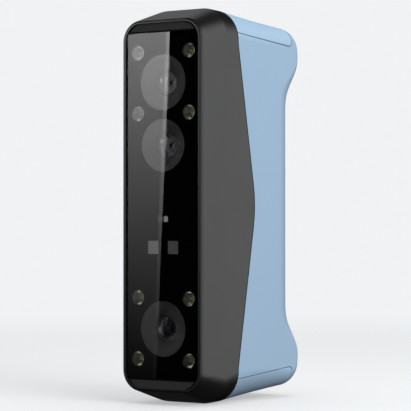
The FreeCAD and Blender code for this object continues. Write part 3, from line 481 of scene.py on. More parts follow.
class Graph:
    """A node tree with short ways to add and join its nodes."""

    def __init__(self, tree: bpy.types.NodeTree) -> None:
        """Keep the tree that nodes go into."""
        self.tree = tree

    def add(self, kind: str, **settings: object) -> bpy.types.Node:
        """Add a node and set its properties.

        Args:
            kind: the node's type.
            settings: its properties.

        Returns:
            The node.
        """
        node = self.tree.nodes.new(kind)
        for name, value in settings.items():
            setattr(node, name, value)
        return node

    def join(self, source: Socket, target: Socket) -> None:
        """Link two sockets."""
        self.tree.links.new(source, target)

    def feed(self, target: Socket, source: object) -> None:
        """Give a socket a link or a plain value.

        Args:
            target: the socket that is fed.
            source: another socket or a value.
        """
        if isinstance(source, Socket):
            self.join(source, target)
        else:
            target.default_value = source

    def math(self, operation: str, *values: object) -> Socket:
        """Work out a value from links or numbers.

        Args:
            operation: the Math node's operation.
            values: what it works on.

        Returns:
            The result.
        """
        node = self.add("ShaderNodeMath", operation=operation)
        for socket, value in zip(node.inputs, values):
            self.feed(socket, value)
        return node.outputs[0]

    def vector(self, operation: str, vector: Socket, **values: object) -> bpy.types.Node:
        """Work on a vector.

        Args:
            operation: the Vector Math node's operation.
            vector: what it works on.
            values: its other inputs by name.

        Returns:
            The node.
        """
        node = self.add("ShaderNodeVectorMath", operation=operation)
        self.join(vector, node.inputs[0])
        for name, value in values.items():
            self.feed(node.inputs[name], value)
        return node

    def flattened(self, vector: Socket, share: float) -> Socket:
        """Vector with only a share of its Z.

        Args:
            vector: the vector to flatten.
            share: what is left of its Z.

        Returns:
            The flattened vector.
        """
        node = self.vector("MULTIPLY", vector)
        node.inputs[1].default_value = (1, 1, share)
        return node.outputs[0]

    def between(self, factor: object, low: object, high: object) -> Socket:
        """Value between two others.

        Args:
            factor: 0 gives the first value and 1 the second.
            low: the first value.
            high: the second value.

        Returns:
            The value.
        """
        node = self.add("ShaderNodeMapRange")
        self.feed(node.inputs["Value"], factor)
        self.feed(node.inputs["To Min"], low)
        self.feed(node.inputs["To Max"], high)
        return node.outputs["Result"]

    def ramp(self, value: Socket, start: float, end: float) -> Socket:
        """Smooth rise from 0 to 1.

        Args:
            value: what the rise follows.
            start: value at which it leaves 0.
            end: value at which it reaches 1.

        Returns:
            The rise.
        """
        node = self.add("ShaderNodeMapRange", interpolation_type="SMOOTHSTEP")
        self.join(value, node.inputs["Value"])
        node.inputs["From Min"].default_value = start
        node.inputs["From Max"].default_value = end
        return node.outputs["Result"]

    def noise(self, vector: Socket, scale: object, detail: float) -> Socket:
        """Noise from 0 to 1.

        Args:
            vector: what the noise lies on.
            scale: how fine it is.
            detail: how many finer layers it has.

        Returns:
            The noise.
        """
        node = self.add("ShaderNodeTexNoise")
        node.inputs["Detail"].default_value = detail
        self.feed(node.inputs["Scale"], scale)
        self.join(vector, node.inputs["Vector"])
        return node.outputs["Fac"]


class Effects:
    """Shader node groups that several finishes share, each built once."""

    made: dict[str, bpy.types.NodeTree] = {}
    FLOAT = "NodeSocketFloat"
    VECTOR = "NodeSocketVector"
    COLOUR = "NodeSocketColor"
    # Scale of the slow change in roughness, as a share of the grain's
    BROAD_SHARE = 0.03
    # Scales of the drift and the speckle in a tone, and the speckle's share
    DRIFT_SCALE = 28.0
    SPECKLE_SCALE = 900.0
    SPECKLE_SHARE = 0.35
    # What is left of Z, so that the noise is drawn out into hair lines
    LINE_SHARE = 0.03
    # Scale of the wiped marks, and the power that thins them out
    WIPE_SCALE = 35.0
    WIPE_POWER = 3.0

    @classmethod
    def group(cls, name: str, inputs: dict[str, str], outputs: dict[str, str]) -> tuple[Graph, Sockets, Sockets]:
        """Start a node group.

        Args:
            name: name of the group.
            inputs: socket names and types.
            outputs: socket names and types.

        Returns:
            The graph, the group's input sockets and its output sockets.
        """
        tree = bpy.data.node_groups.new(name, "ShaderNodeTree")
        for way, sockets in (("INPUT", inputs), ("OUTPUT", outputs)):
            for label, kind in sockets.items():
                tree.interface.new_socket(name=label, in_out=way, socket_type=kind)
        cls.made[name] = tree
        graph = Graph(tree)
        return graph, graph.add("NodeGroupInput").outputs, graph.add("NodeGroupOutput").inputs

    @classmethod
    def build(cls) -> None:
        """Build every shared effect."""
        cls.moulded_grain()
        cls.uneven_tone()
        cls.turned_rings()
        cls.brushed_lines()
        cls.handling_marks()

    @classmethod
    def moulded_grain(cls) -> None:
        """Eroded mould texture with roughness that varies slowly."""
        graph, given, out = cls.group(
            "moulded grain",
            {"Vector": cls.VECTOR, "Pitch": cls.FLOAT, "Smooth": cls.FLOAT, "Rough": cls.FLOAT},
            {"Height": cls.FLOAT, "Roughness": cls.FLOAT},
        )
        scale = graph.math("DIVIDE", 1 / MM, given["Pitch"])
        fine = graph.noise(given["Vector"], scale, detail=2.0)
        cells = graph.add("ShaderNodeTexVoronoi", feature="SMOOTH_F1")
        graph.join(given["Vector"], cells.inputs["Vector"])
        graph.join(scale, cells.inputs["Scale"])
        graph.join(graph.math("ADD", fine, cells.outputs["Distance"]), out["Height"])
        broad = graph.noise(given["Vector"], graph.math("MULTIPLY", scale, cls.BROAD_SHARE), detail=3.0)
        graph.join(graph.between(broad, given["Smooth"], given["Rough"]), out["Roughness"])

    @classmethod
    def uneven_tone(cls) -> None:
        """Colour that drifts a little lighter and darker over a moulding."""
        graph, given, out = cls.group(
            "uneven tone",
            {"Vector": cls.VECTOR, "Colour": cls.COLOUR, "Spread": cls.FLOAT},
            {"Colour": cls.COLOUR},
        )
        drift = graph.noise(given["Vector"], cls.DRIFT_SCALE, detail=2.0)
        speckle = graph.noise(given["Vector"], cls.SPECKLE_SCALE, detail=1.0)
        drift = graph.math("MULTIPLY", drift, 1 - cls.SPECKLE_SHARE)
        mixed = graph.math("MULTIPLY_ADD", speckle, cls.SPECKLE_SHARE, drift)
        centred = graph.math("SUBTRACT", mixed, 0.5)
        gain = graph.math("MULTIPLY_ADD", centred, graph.math("MULTIPLY", given["Spread"], 2.0), 1.0)
        scaled = graph.vector("SCALE", given["Colour"], Scale=gain)
        graph.join(scaled.outputs[0], out["Colour"])

    @classmethod
    def turned_rings(cls) -> None:
        """Fine rings round an axis along Z of the given vector."""
        graph, given, out = cls.group(
            "turned rings",
            {"Vector": cls.VECTOR, "Pitch": cls.FLOAT},
            {"Height": cls.FLOAT},
        )
        radius = graph.vector("LENGTH", graph.flattened(given["Vector"], 0.0)).outputs["Value"]
        turns = graph.math("DIVIDE", radius, graph.math("MULTIPLY", given["Pitch"], MM))
        wave = graph.math("SINE", graph.math("MULTIPLY", turns, math.tau))
        graph.join(graph.math("MULTIPLY_ADD", wave, 0.5, 0.5), out["Height"])

    @classmethod
    def brushed_lines(cls) -> None:
        """Hair lines along Z of the given vector."""
        graph, given, out = cls.group(
            "brushed lines",
            {"Vector": cls.VECTOR, "Pitch": cls.FLOAT},
            {"Height": cls.FLOAT},
        )
        stretched = graph.flattened(given["Vector"], cls.LINE_SHARE)
        scale = graph.math("DIVIDE", 1 / MM, given["Pitch"])
        graph.join(graph.noise(stretched, scale, detail=3.0), out["Height"])

    @classmethod
    def handling_marks(cls) -> None:
        """Faint wiped marks that dull a polished face."""
        graph, given, out = cls.group(
            "handling marks",
            {"Vector": cls.VECTOR, "Clean": cls.FLOAT, "Marked": cls.FLOAT},
            {"Roughness": cls.FLOAT},
        )
        broad = graph.noise(given["Vector"], cls.WIPE_SCALE, detail=4.0)
        marks = graph.math("POWER", broad, cls.WIPE_POWER)
        graph.join(graph.between(marks, given["Clean"], given["Marked"]), out["Roughness"])


class FinishGraph(Graph):
    """A material's node tree round one main shader."""

    def __init__(self, name: str, colour: Colour) -> None:
        """Start a material.

        Args:
            name: name of the material.
            colour: its plain colour.
        """
        self.material = bpy.data.materials.new(name)
        self.material.use_nodes = True
        self.material.diffuse_color = (*colour, 1.0)
        super().__init__(self.material.node_tree)
        self.shader = next(node for node in self.tree.nodes if node.type == "BSDF_PRINCIPLED")
        self.output = next(node for node in self.tree.nodes if node.type == "OUTPUT_MATERIAL")
        self.shader.inputs["Base Color"].default_value = (*colour, 1.0)
        self.place = self.add("ShaderNodeTexCoord").outputs["Object"]

    def set(self, **values: object) -> None:
        """Set constants on the main shader, with _ for a blank in a socket's name."""
        for name, value in values.items():
            self.shader.inputs[name.replace("_", " ")].default_value = value

    def effect(self, name: str, vector: Optional[Socket] = None, **values: object) -> Sockets:
        """Place a shared effect with its own values.

        Args:
            name: name of the shared group.
            vector: what the pattern lies on, or the piece's own place.
            values: the group's other inputs.

        Returns:
            The group's outputs.
        """
        node = self.add("ShaderNodeGroup", node_tree=Effects.made[name])
        self.join(vector or self.place, node.inputs["Vector"])
        for label, value in values.items():
            self.feed(node.inputs[label], value)
        return node.outputs

    def tone(self, colour: object, spread: float) -> None:
        """Let the base colour drift a little.

        Args:
            colour: the plain colour, or a link to one.
            spread: how far it drifts.
        """
        tone = self.effect("uneven tone", Colour=colour, Spread=spread)
        self.join(tone["Colour"], self.shader.inputs["Base Color"])

    def grain(self, pitch: float, smooth: float, rough: float) -> Socket:
        """Let the roughness vary slowly under a mould texture.

        Args:
            pitch: size of the texture's grains, in millimetres.
            smooth: lowest roughness.
            rough: highest roughness.

        Returns:
            The texture's height.
        """
        grain = self.effect("moulded grain", Pitch=pitch, Smooth=smooth, Rough=rough)
        self.join(grain["Roughness"], self.shader.inputs["Roughness"])
        return grain["Height"]

    def marks(self, clean: float, marked: float) -> None:
        """Let wiped marks change the roughness.

        Args:
            clean: roughness between the marks.
            marked: roughness on them.
        """
        marks = self.effect("handling marks", Clean=clean, Marked=marked)
        self.join(marks["Roughness"], self.shader.inputs["Roughness"])

    def bump(self, height: Socket, distance: float) -> None:
        """Let a height pattern tilt the surface.

        Args:
            height: the pattern.
            distance: its highest rise, in millimetres.
        """
        node = self.add("ShaderNodeBump")
        node.inputs["Distance"].default_value = distance * MM
        self.join(height, node.inputs["Height"])
        self.join(node.outputs["Normal"], self.shader.inputs["Normal"])

    def surface(self, share: Socket, other: bpy.types.Node) -> None:
        """Mix another shader over the main one.

        Args:
            share: how much of the other shows.
            other: the other shader.
        """
        mix = self.add("ShaderNodeMixShader")
        for source, target in zip((share, self.shader.outputs[0], other.outputs[0]), mix.inputs):
            self.join(source, target)
        self.join(mix.outputs[0], self.output.inputs["Surface"])

    def turned_about(self, place: Point, upright: bool) -> Socket:
        """Vector centred on an axis, turned so that the axis is its Z.

        Args:
            place: a point of the axis, in millimetres.
            upright: whether the axis already stands along Z.

        Returns:
            The turned vector.
        """
        node = self.add("ShaderNodeMapping", vector_type="TEXTURE")
        node.inputs["Location"].default_value = Vector(place) * MM
        node.inputs["Rotation"].default_value = (0 if upright else math.pi / 2, 0, 0)
        self.join(self.place, node.inputs["Vector"])
        return node.outputs[0]


@dataclass(frozen=True)
class Moulding:
    """Moulded plastic or rubber with an eroded mould texture."""

    name: str
    colour: Colour
    smooth: float = 0.42
    rough: float = 0.5
    pitch: float = 0.5
    relief: float = 0.012
    spread: float = 0.04
    index: float = 1.45
    coat: float = 0.0

    def make(self) -> bpy.types.Material:
        """Build the material.

        Returns:
            The material.
        """
        graph = FinishGraph(self.name, self.colour)
        graph.set(IOR=self.index, Coat_Weight=self.coat)
        graph.tone((*self.colour, 1.0), self.spread)
        graph.bump(graph.grain(self.pitch, self.smooth, self.rough), self.relief)
        return graph.material


@dataclass(frozen=True)
class Metal:
    """Bare or blackened metal with its tool marks."""

    name: str
    colour: Colour
    texture: MetalTexture
    smooth: float = 0.28
    rough: float = 0.42
    pitch: float = 0.25
    relief: float = 0.006
    metallic: float = 1.0
    axis: Optional[Point] = None
    upright: bool = False
    spread: float = 0.06

    def make(self) -> bpy.types.Material:
        """Build the material.

        Returns:
            The material.
        """
        graph = FinishGraph(self.name, self.colour)
        graph.set(Metallic=self.metallic)
        graph.tone((*self.colour, 1.0), self.spread)
        height = graph.grain(self.pitch, self.smooth, self.rough)
        vector = graph.place if self.axis is None else graph.turned_about(self.axis, self.upright)
        if self.texture is MetalTexture.TURNED:
            height = graph.effect("turned rings", vector, Pitch=self.pitch)["Height"]
        elif self.texture is MetalTexture.BRUSHED:
            height = graph.effect("brushed lines", vector, Pitch=self.pitch)["Height"]
        graph.bump(height, self.relief)
        return graph.material


@dataclass(frozen=True)
class ClearPiece:
    """Glass or clear plastic that lets the lamps' light through."""

    name: str
    tint: Colour
    index: float = 1.45
    clean: float = 0.0
    marked: float = 0.06
    lamp_share: float = 0.92

    def make(self) -> bpy.types.Material:
        """Build the material.

        Returns:
            The material.
        """
        graph = FinishGraph(self.name, self.tint)
        graph.set(Transmission_Weight=1.0, IOR=self.index)
        graph.marks(self.clean, self.marked)
        through = graph.add("ShaderNodeBsdfTransparent")
        through.inputs["Color"].default_value = (*(self.lamp_share * part for part in self.tint), 1.0)
        rays = graph.add("ShaderNodeLightPath")
        graph.surface(rays.outputs["Is Shadow Ray"], through)
        return graph.material


@dataclass(frozen=True)
class CircuitBoard:
    """Solder mask over fine tracks."""

    name: str
    colour: Colour
    track: Colour
    smooth: float = 0.3
    rough: float = 0.45
    pitch: float = 0.3
    relief: float = 0.02
    track_scale: float = 260.0
    shade: float = 0.8

    def make(self) -> bpy.types.Material:
        """Build the material.

        Returns:
            The material.
        """
        graph = FinishGraph(self.name, self.colour)
        bricks = graph.add("ShaderNodeTexBrick")
        graph.join(graph.turned_about((0, 0, 0), False), bricks.inputs["Vector"])
        bricks.inputs["Scale"].default_value = self.track_scale
        bricks.inputs["Color1"].default_value = (*self.colour, 1.0)
        bricks.inputs["Color2"].default_value = (*(self.shade * part for part in self.colour), 1.0)
        bricks.inputs["Mortar"].default_value = (*self.track, 1.0)
        graph.join(bricks.outputs["Color"], graph.shader.inputs["Base Color"])
        graph.grain(self.pitch, self.smooth, self.rough)
        graph.bump(bricks.outputs["Fac"], self.relief)
        return graph.material


@dataclass(frozen=True)
class WindowPair:
    """Two small windows side by side, each with its own colour; on the ground windows the left one's lighter
    colour is painted sheen.
    """

    name: str
    left: Colour
    right: Colour
    index: float = 1.2
    clean: float = 0.5
    marked: float = 0.62
    spread: float = 0.08

    def make(self) -> bpy.types.Material:
        """Build the material.

        Returns:
            The material.
        """
        graph = FinishGraph(self.name, self.right)
        graph.set(IOR=self.index)
        parts = graph.add("ShaderNodeSeparateXYZ")
        graph.join(graph.place, parts.inputs[0])
        mix = graph.add("ShaderNodeMix", data_type="RGBA")
        graph.join(graph.math("GREATER_THAN", parts.outputs["X"], 0.0), mix.inputs[0])
        for socket, colour in zip((mix.inputs[6], mix.inputs[7]), (self.left, self.right)):
            socket.default_value = (*colour, 1.0)
        graph.tone(mix.outputs[2], self.spread)
        graph.marks(self.clean, self.marked)
        return graph.material


# Name, colour, lowest and highest roughness, pitch and relief of the grain in millimetres,
# spread of the tone, index of refraction and clear coat
MOULDINGS = (
    Moulding("casing", (0.0065, 0.0065, 0.0066), 0.3, 0.36, 0.55, 0.008, 0.05, 1.58),
    Moulding("bezel", (0.028, 0.028, 0.0284), 0.55, 0.65, 0.5, 0.01, 0.05, 1.3),
    Moulding("grip", (0.29, 0.425, 0.572), 0.4, 0.47, 0.6, 0.01, 0.025),
    # cap: the grip's blue made a little lighter as painted light, for the top cap that shows lighter where light
    # from above falls; the bottom cap shares it
    Moulding("cap", (0.314, 0.45, 0.598), 0.4, 0.47, 0.6, 0.01, 0.025),
    Moulding("gasket", (0.006, 0.008, 0.011), 0.75, 0.85, 0.4, 0.02, 0.06, 1.15),
    Moulding("print", (0.0012, 0.0012, 0.0012), 0.6, 0.75, 0.6, 0.002, 0.05, 1.1),
    Moulding("baffle", (0.019, 0.019, 0.0192), 0.6, 0.7, 0.35, 0.01, 0.08, 1.3),
    Moulding("chip", (0.02, 0.02, 0.021), 0.45, 0.6, 0.3, 0.01, 0.05),
    Moulding("ribbon", (0.42, 0.2, 0.045), 0.3, 0.4, 0.8, 0.004, 0.08),
    Moulding("pad", (0.4, 0.45, 0.5), 0.7, 0.85, 0.5, 0.02, 0.06),
    Moulding("battery", (0.03, 0.04, 0.06), 0.3, 0.42, 1.2, 0.01, 0.05),
    Moulding("tray", (0.05, 0.05, 0.05), 0.5, 0.6, 0.5, 0.012, 0.05),
    Moulding("panel", (0.018, 0.018, 0.0185), 0.38, 0.48, 0.45, 0.01, 0.05),
    Moulding("button", (0.04, 0.04, 0.041), 0.55, 0.7, 0.4, 0.02, 0.06, 1.45),
    Moulding("button_mark", (0.62, 0.64, 0.65), 0.45, 0.55, 0.4, 0.01, 0.04),
    Moulding("light_pipe", (0.55, 0.6, 0.57), 0.2, 0.32, 0.5, 0.004, 0.05, 1.49, 0.3),
    Moulding("switch", (0.04, 0.04, 0.04), 0.4, 0.5, 0.3, 0.01, 0.05),
    Moulding("sensor", (0.02, 0.02, 0.03), 0.15, 0.25, 0.3, 0.002, 0.1, 1.6, 0.5),
    Moulding("ceramic", (0.3, 0.29, 0.22), 0.4, 0.5, 0.3, 0.006, 0.05),
    Moulding("phosphor", (0.5, 0.46, 0.05), 0.5, 0.6, 0.2, 0.01, 0.12),
    Moulding("projector", (0.022, 0.022, 0.023), 0.4, 0.5, 0.4, 0.01, 0.05),
)
# Name, colour, texture, lowest and highest roughness, pitch and relief in millimetres, metallic share
METALS = (
    Metal("frame_metal", (0.5, 0.51, 0.52), MetalTexture.BLASTED),
    Metal("spreader_metal", (0.6, 0.61, 0.62), MetalTexture.BRUSHED),
    Metal("screw_steel", (0.25, 0.25, 0.26), MetalTexture.BLASTED),
    Metal("standoff", (0.7, 0.55, 0.28), MetalTexture.BLASTED),
    Metal("contact_metal", (0.45, 0.45, 0.46), MetalTexture.BRUSHED, 0.25, 0.35, 0.2, 0.003),
    Metal("contact_gold", (0.75, 0.55, 0.22), MetalTexture.BLASTED, 0.2, 0.3, 0.2, 0.002),
    Metal("cup", (0.024, 0.0245, 0.019), MetalTexture.BLASTED, 0.4, 0.55, 0.3, 0.004, 0.5),
)
# Name, tint, index of refraction, lowest and highest roughness, share of the lamps' light that goes through
CLEAR_PIECES = (
    ClearPiece("window", (0.97, 0.975, 0.98), 1.5, 0.0, 0.006, 0.94),
    ClearPiece("lens", (0.95, 0.96, 1.0), 1.4, 0.0, 0.02),
    ClearPiece("lamp_optic", (0.86, 0.88, 0.66), 1.3, 0.22, 0.3),
    ClearPiece("lamp_dome", (0.98, 0.98, 0.9), 1.41, 0.0, 0.06),
)
PATTERNED = (
    CircuitBoard("circuit", (0.012, 0.07, 0.03), (0.05, 0.16, 0.06)),
    WindowPair("eye", (0.001, 0.001, 0.001), (0.4, 0.4, 0.41)),
    # ground_window: both windows are one grey; the left one is made lighter as painted light, for the sheen
    # reflected over it and the extra light it gets
    WindowPair("ground_window", (0.135, 0.135, 0.136), (0.072, 0.072, 0.073)),
)


class Finishes:
    """Every finish of the scanner, made once and kept by its name."""

    def __init__(self) -> None:
        """Build the shared effects and all finishes."""
        Effects.build()
        turned = (self.insert_brass(), *(self.barrel_metal(camera) for camera in CAMERAS))
        recipes = (*MOULDINGS, *METALS, *CLEAR_PIECES, *PATTERNED, *turned)
        self.made = {recipe.name: recipe.make() for recipe in recipes}

    @staticmethod
    def insert_brass() -> Metal:
        """Brass turned about the tripod insert's axis.

        Returns:
            The finish.
        """
        axis = tuple(node_middle("tripod_insert"))
        texture = MetalTexture.TURNED
        return Metal("insert_brass", (0.62, 0.46, 0.2), texture, 0.25, 0.38, 0.3, 0.008, axis=axis, upright=True)

    @staticmethod
    def barrel_metal(camera: str) -> Metal:
        """Blackened metal turned about one camera's axis.

        Args:
            camera: name of the camera.

        Returns:
            The finish.
        """
        axis = tuple(node_middle(camera + "_lens_barrel"))
        colour = (0.016, 0.016, 0.0165)
        return Metal(camera + "_barrel", colour, MetalTexture.TURNED, 0.42, 0.55, 0.22, 0.008, 0.2, axis)

    def __getitem__(self, name: str) -> bpy.types.Material:
        """Material by name."""
        return self.made[name]


@dataclass
class Shells:
    """Casing, grip, end caps and gasket with their edges broken."""

    finishes: Finishes
    edge: float = 0.3
    grip_edge: float = 0.55
    seam_edge: float = 0.22

    def build(self) -> None:
        """Make the outer shells."""
        for node, name, slot, width in (
            ("front_casing", "casing_shell", "casing", self.edge),
            ("grip_shell", "grip_body", "grip", self.grip_edge),
            # The end caps' finish holds painted light: its blue is lighter than the grip's
            ("top_cap", "upper_end_cap", "cap", self.seam_edge),
            ("bottom_cap", "lower_end_cap", "cap", self.seam_edge),
        ):
            fit(Bench.softened(node, name, width), self.finishes[slot], (node,))
        dress(("parting_gasket",), self.finishes["gasket"])


@dataclass
class FrontWindow:
    """Bezel, glass pane with blackened edges and its seal, black print and small windows."""

    finishes: Finishes
    edge: float = 0.22
    bezel_corner: float = 10.4
    # The outline that rounds the bezel's right corners reaches this far past its left edge
    bezel_left: float = 12.0
    # Each end of the bezel moves out by this much, which fades out over its chin
    bezel_growth: float = 0.26
    bezel_chin: float = 4.4
    cutter_back: float = 6.0
    seal_size: Pair = (45.3, 176.5)
    seal_corner: float = 2.75
    seal_span: Pair = (1.05, 1.95)
    seal_gap: float = 0.02
    pane_corner: float = 1.5
    # Faces of the pane that look less straight ahead or back than this are black
    pane_facing: float = 0.99

    def bezel(self) -> None:
        """Bezel that meets the casing above and below, with right corners that stand clear of it."""
        piece = Bench.copied("front_bezel", "window_bezel")
        (left, right), (low, high) = (node_span("front_bezel", axis) for axis in (0, 2))
        middle, reach = (low + high) / 2, (high - low) / 2
        for point in piece.data.vertices:
            offset = point.co.z / MM - middle
            share = max(0.0, 1 - (reach - abs(offset)) / self.bezel_chin)
            point.co.z += math.copysign(share * self.bezel_growth * MM, offset)
        place = ((left + right - self.bezel_left) / 2, middle)
        size = (right - left + self.bezel_left, 2 * (reach + self.bezel_growth))
        outline = Bench.rounded_plate("bezel_outline", place, size, self.bezel_corner, (0.0, self.cutter_back))
        Bench.shape_by(piece, outline, Shaping.KEEP_COMMON)
        Bench.soften(piece, self.edge)
        fit(piece, self.finishes["bezel"], ("front_bezel",))

    def seal(self) -> None:
        """Black rubber frame in the gap round the pane."""
        (left, right), (low, high) = (node_span("window_glass", axis) for axis in (0, 2))
        place = ((left + right) / 2, (low + high) / 2)
        piece = Bench.rounded_plate("window_seal", place, self.seal_size, self.seal_corner, self.seal_span)
        size = (right - left + 2 * self.seal_gap, high - low + 2 * self.seal_gap)
        hole = Bench.rounded_plate("seal_hole", place, size, self.pane_corner, (0.0, self.cutter_back))
        Bench.shape_by(piece, hole, Shaping.CUT_OUT)
        Bench.smooth(piece)
        fit(piece, self.finishes["gasket"])

    def pane(self) -> None:
        """Glass pane with blackened edges."""
        piece = Bench.softened("window_glass", "window_pane", self.edge)
        fit(piece, self.finishes["window"], ("window_glass",))
        piece.data.materials.append(self.finishes["print"])
        for face in piece.data.polygons:
            face.material_index = int(abs(face.normal.y) < self.pane_facing)

    def build(self) -> None:
        """Make the bezel, the seal and the pane, and dress the print and the small windows."""
        self.bezel()
        self.seal()
        self.pane()
        dress(("window_mask",), self.finishes["print"])
        # The projector windows' finish paints the left window lighter, a painted sheen
        dress(("projector_windows",), self.finishes["ground_window"])
        dress(("range_sensor_eyes",), self.finishes["eye"])


@dataclass
class CameraBay:
    """One camera: ribbed baffle, barrel, front element and the small glass behind its iris."""

    finishes: Finishes
    name: str
    rim_front: float = 2.1
    rim_width: float = 0.6
    rim_chamfer: float = 0.15
    wall: float = 0.5
    plain_width: float = 3.1
    plain_drop: float = 0.85
    baffle_back: float = 7.8
    throat: float = 7.0
    throat_lift: float = 3.4
    ribs: int = 7
    # Where the flat of each rib starts and ends, as shares of its step inwards and backwards
    rib_inwards: Pair = (0.35, 0.65)
    rib_backwards: Pair = (0.62, 0.68)
    # Radius and depth of each ring, from the outer edge of the mouth inwards and back round the outside
    barrel_rings: tuple[Ring, ...] = (
        (6.8, 5.3),
        (6.5, 5.0),
        (6.25, 5.0),
        (6.12, 5.08),
        (5.44, 5.57),
        (5.44, 5.6),
        (5.7, 5.68),
        (5.7, 8.3),
        (4.3, 8.45),
        (4.3, 9.3),
        (3.5, 9.45),
        (3.5, 10.4),
        (2.0, 11.1),
        (1.9, 11.25),
        (4.8, 12.2),
        (4.8, 17.6),
        (6.8, 17.6),
        (6.8, 5.3),
    )
    # The front element's flat back, then what its dome needs
    lens_back: tuple[Ring, ...] = ((0.3, 7.95), (3.6, 8.05), (5.6, 8.15))
    lens_radius: float = 5.6
    lens_front: float = 5.05
    lens_curve: float = 25.0
    lens_steps: int = 10
    rear_rings: tuple[Ring, ...] = ((0.3, 13.2), (2.6, 13.0), (2.9, 12.4), (2.2, 11.95), (1.1, 11.7), (0.0, 11.62))
    sides: int = 96
    middle: Vector = field(init=False)
    radius: float = field(init=False)

    def __post_init__(self) -> None:
        """Take the camera's place and width from the frame."""
        low, high = node_span(self.name + "_baffle", 0)
        self.middle = node_middle(self.name + "_baffle")
        self.radius = (high - low) / 2

    def turned(self, label: str, rings: Sequence[Ring], sides: int, capped: bool = False) -> bpy.types.Object:
        """Turn rings about the camera's axis.

        Args:
            label: what the piece's name adds to the camera's.
            rings: radius and depth of each ring.
            sides: corners of each ring.
            capped: whether the first ring is closed by a face.

        Returns:
            The turned piece.
        """
        centre = (self.middle.x, self.middle.z)
        return Bench.turned(self.name + label, centre, at_depths(rings), sides, capped=capped)

    def baffle(self) -> None:
        """Flat rim, plain slope and fine ribs round the barrel."""
        outer, front = self.radius, self.rim_front
        rim_end = outer - self.wall - self.rim_width
        slope_end, slope_back = rim_end - self.plain_width, front + self.plain_drop
        edge = (outer, front + self.rim_chamfer)
        rings = [edge, (outer - self.rim_chamfer, front), (rim_end, front), (slope_end, slope_back)]
        step = (slope_end - self.throat) / self.ribs
        sink = (self.baffle_back - self.throat_lift - slope_back) / self.ribs
        shares = [*zip(self.rib_inwards, self.rib_backwards), (1.0, 1.0)]
        for number in range(self.ribs):
            start, level = slope_end - step * number, slope_back + sink * number
            rings += [(start - step * inwards, level + sink * backwards) for inwards, backwards in shares]
        rings += [(self.throat, self.baffle_back), (outer, self.baffle_back), edge]
        piece = self.turned("_ribbed_baffle", rings, self.sides)
        fit(piece, self.finishes["baffle"], (self.name + "_baffle",))

    def barrel(self) -> None:
        """Barrel with a chamfered mouth, stepped inside down to its iris."""
        piece = self.turned("_barrel_body", self.barrel_rings, self.sides)
        fit(piece, self.finishes[self.name + "_barrel"], (self.name + "_lens_barrel",))

    def front_element(self) -> None:
        """Domed front glass."""
        rings = list(self.lens_back)
        for number in range(self.lens_steps + 1):
            last = number == self.lens_steps
            radius = 0.0 if last else self.lens_radius * math.cos(math.pi / 2 * number / self.lens_steps)
            rise = self.lens_curve - math.sqrt(self.lens_curve**2 - radius**2)
            rings.append((radius, self.lens_front + rise))
        piece = self.turned("_front_element", rings, self.sides, capped=True)
        fit(piece, self.finishes["lens"], (self.name + "_front_lens",))

    def rear_element(self) -> None:
        """Small glass behind the iris that catches a second glint."""
        piece = self.turned("_rear_element", self.rear_rings, self.sides // 2, capped=True)
        fit(piece, self.finishes["lens"])

    def build(self) -> None:
        """Make the camera's pieces."""
        self.baffle()
        self.barrel()
        self.front_element()
        self.rear_element()


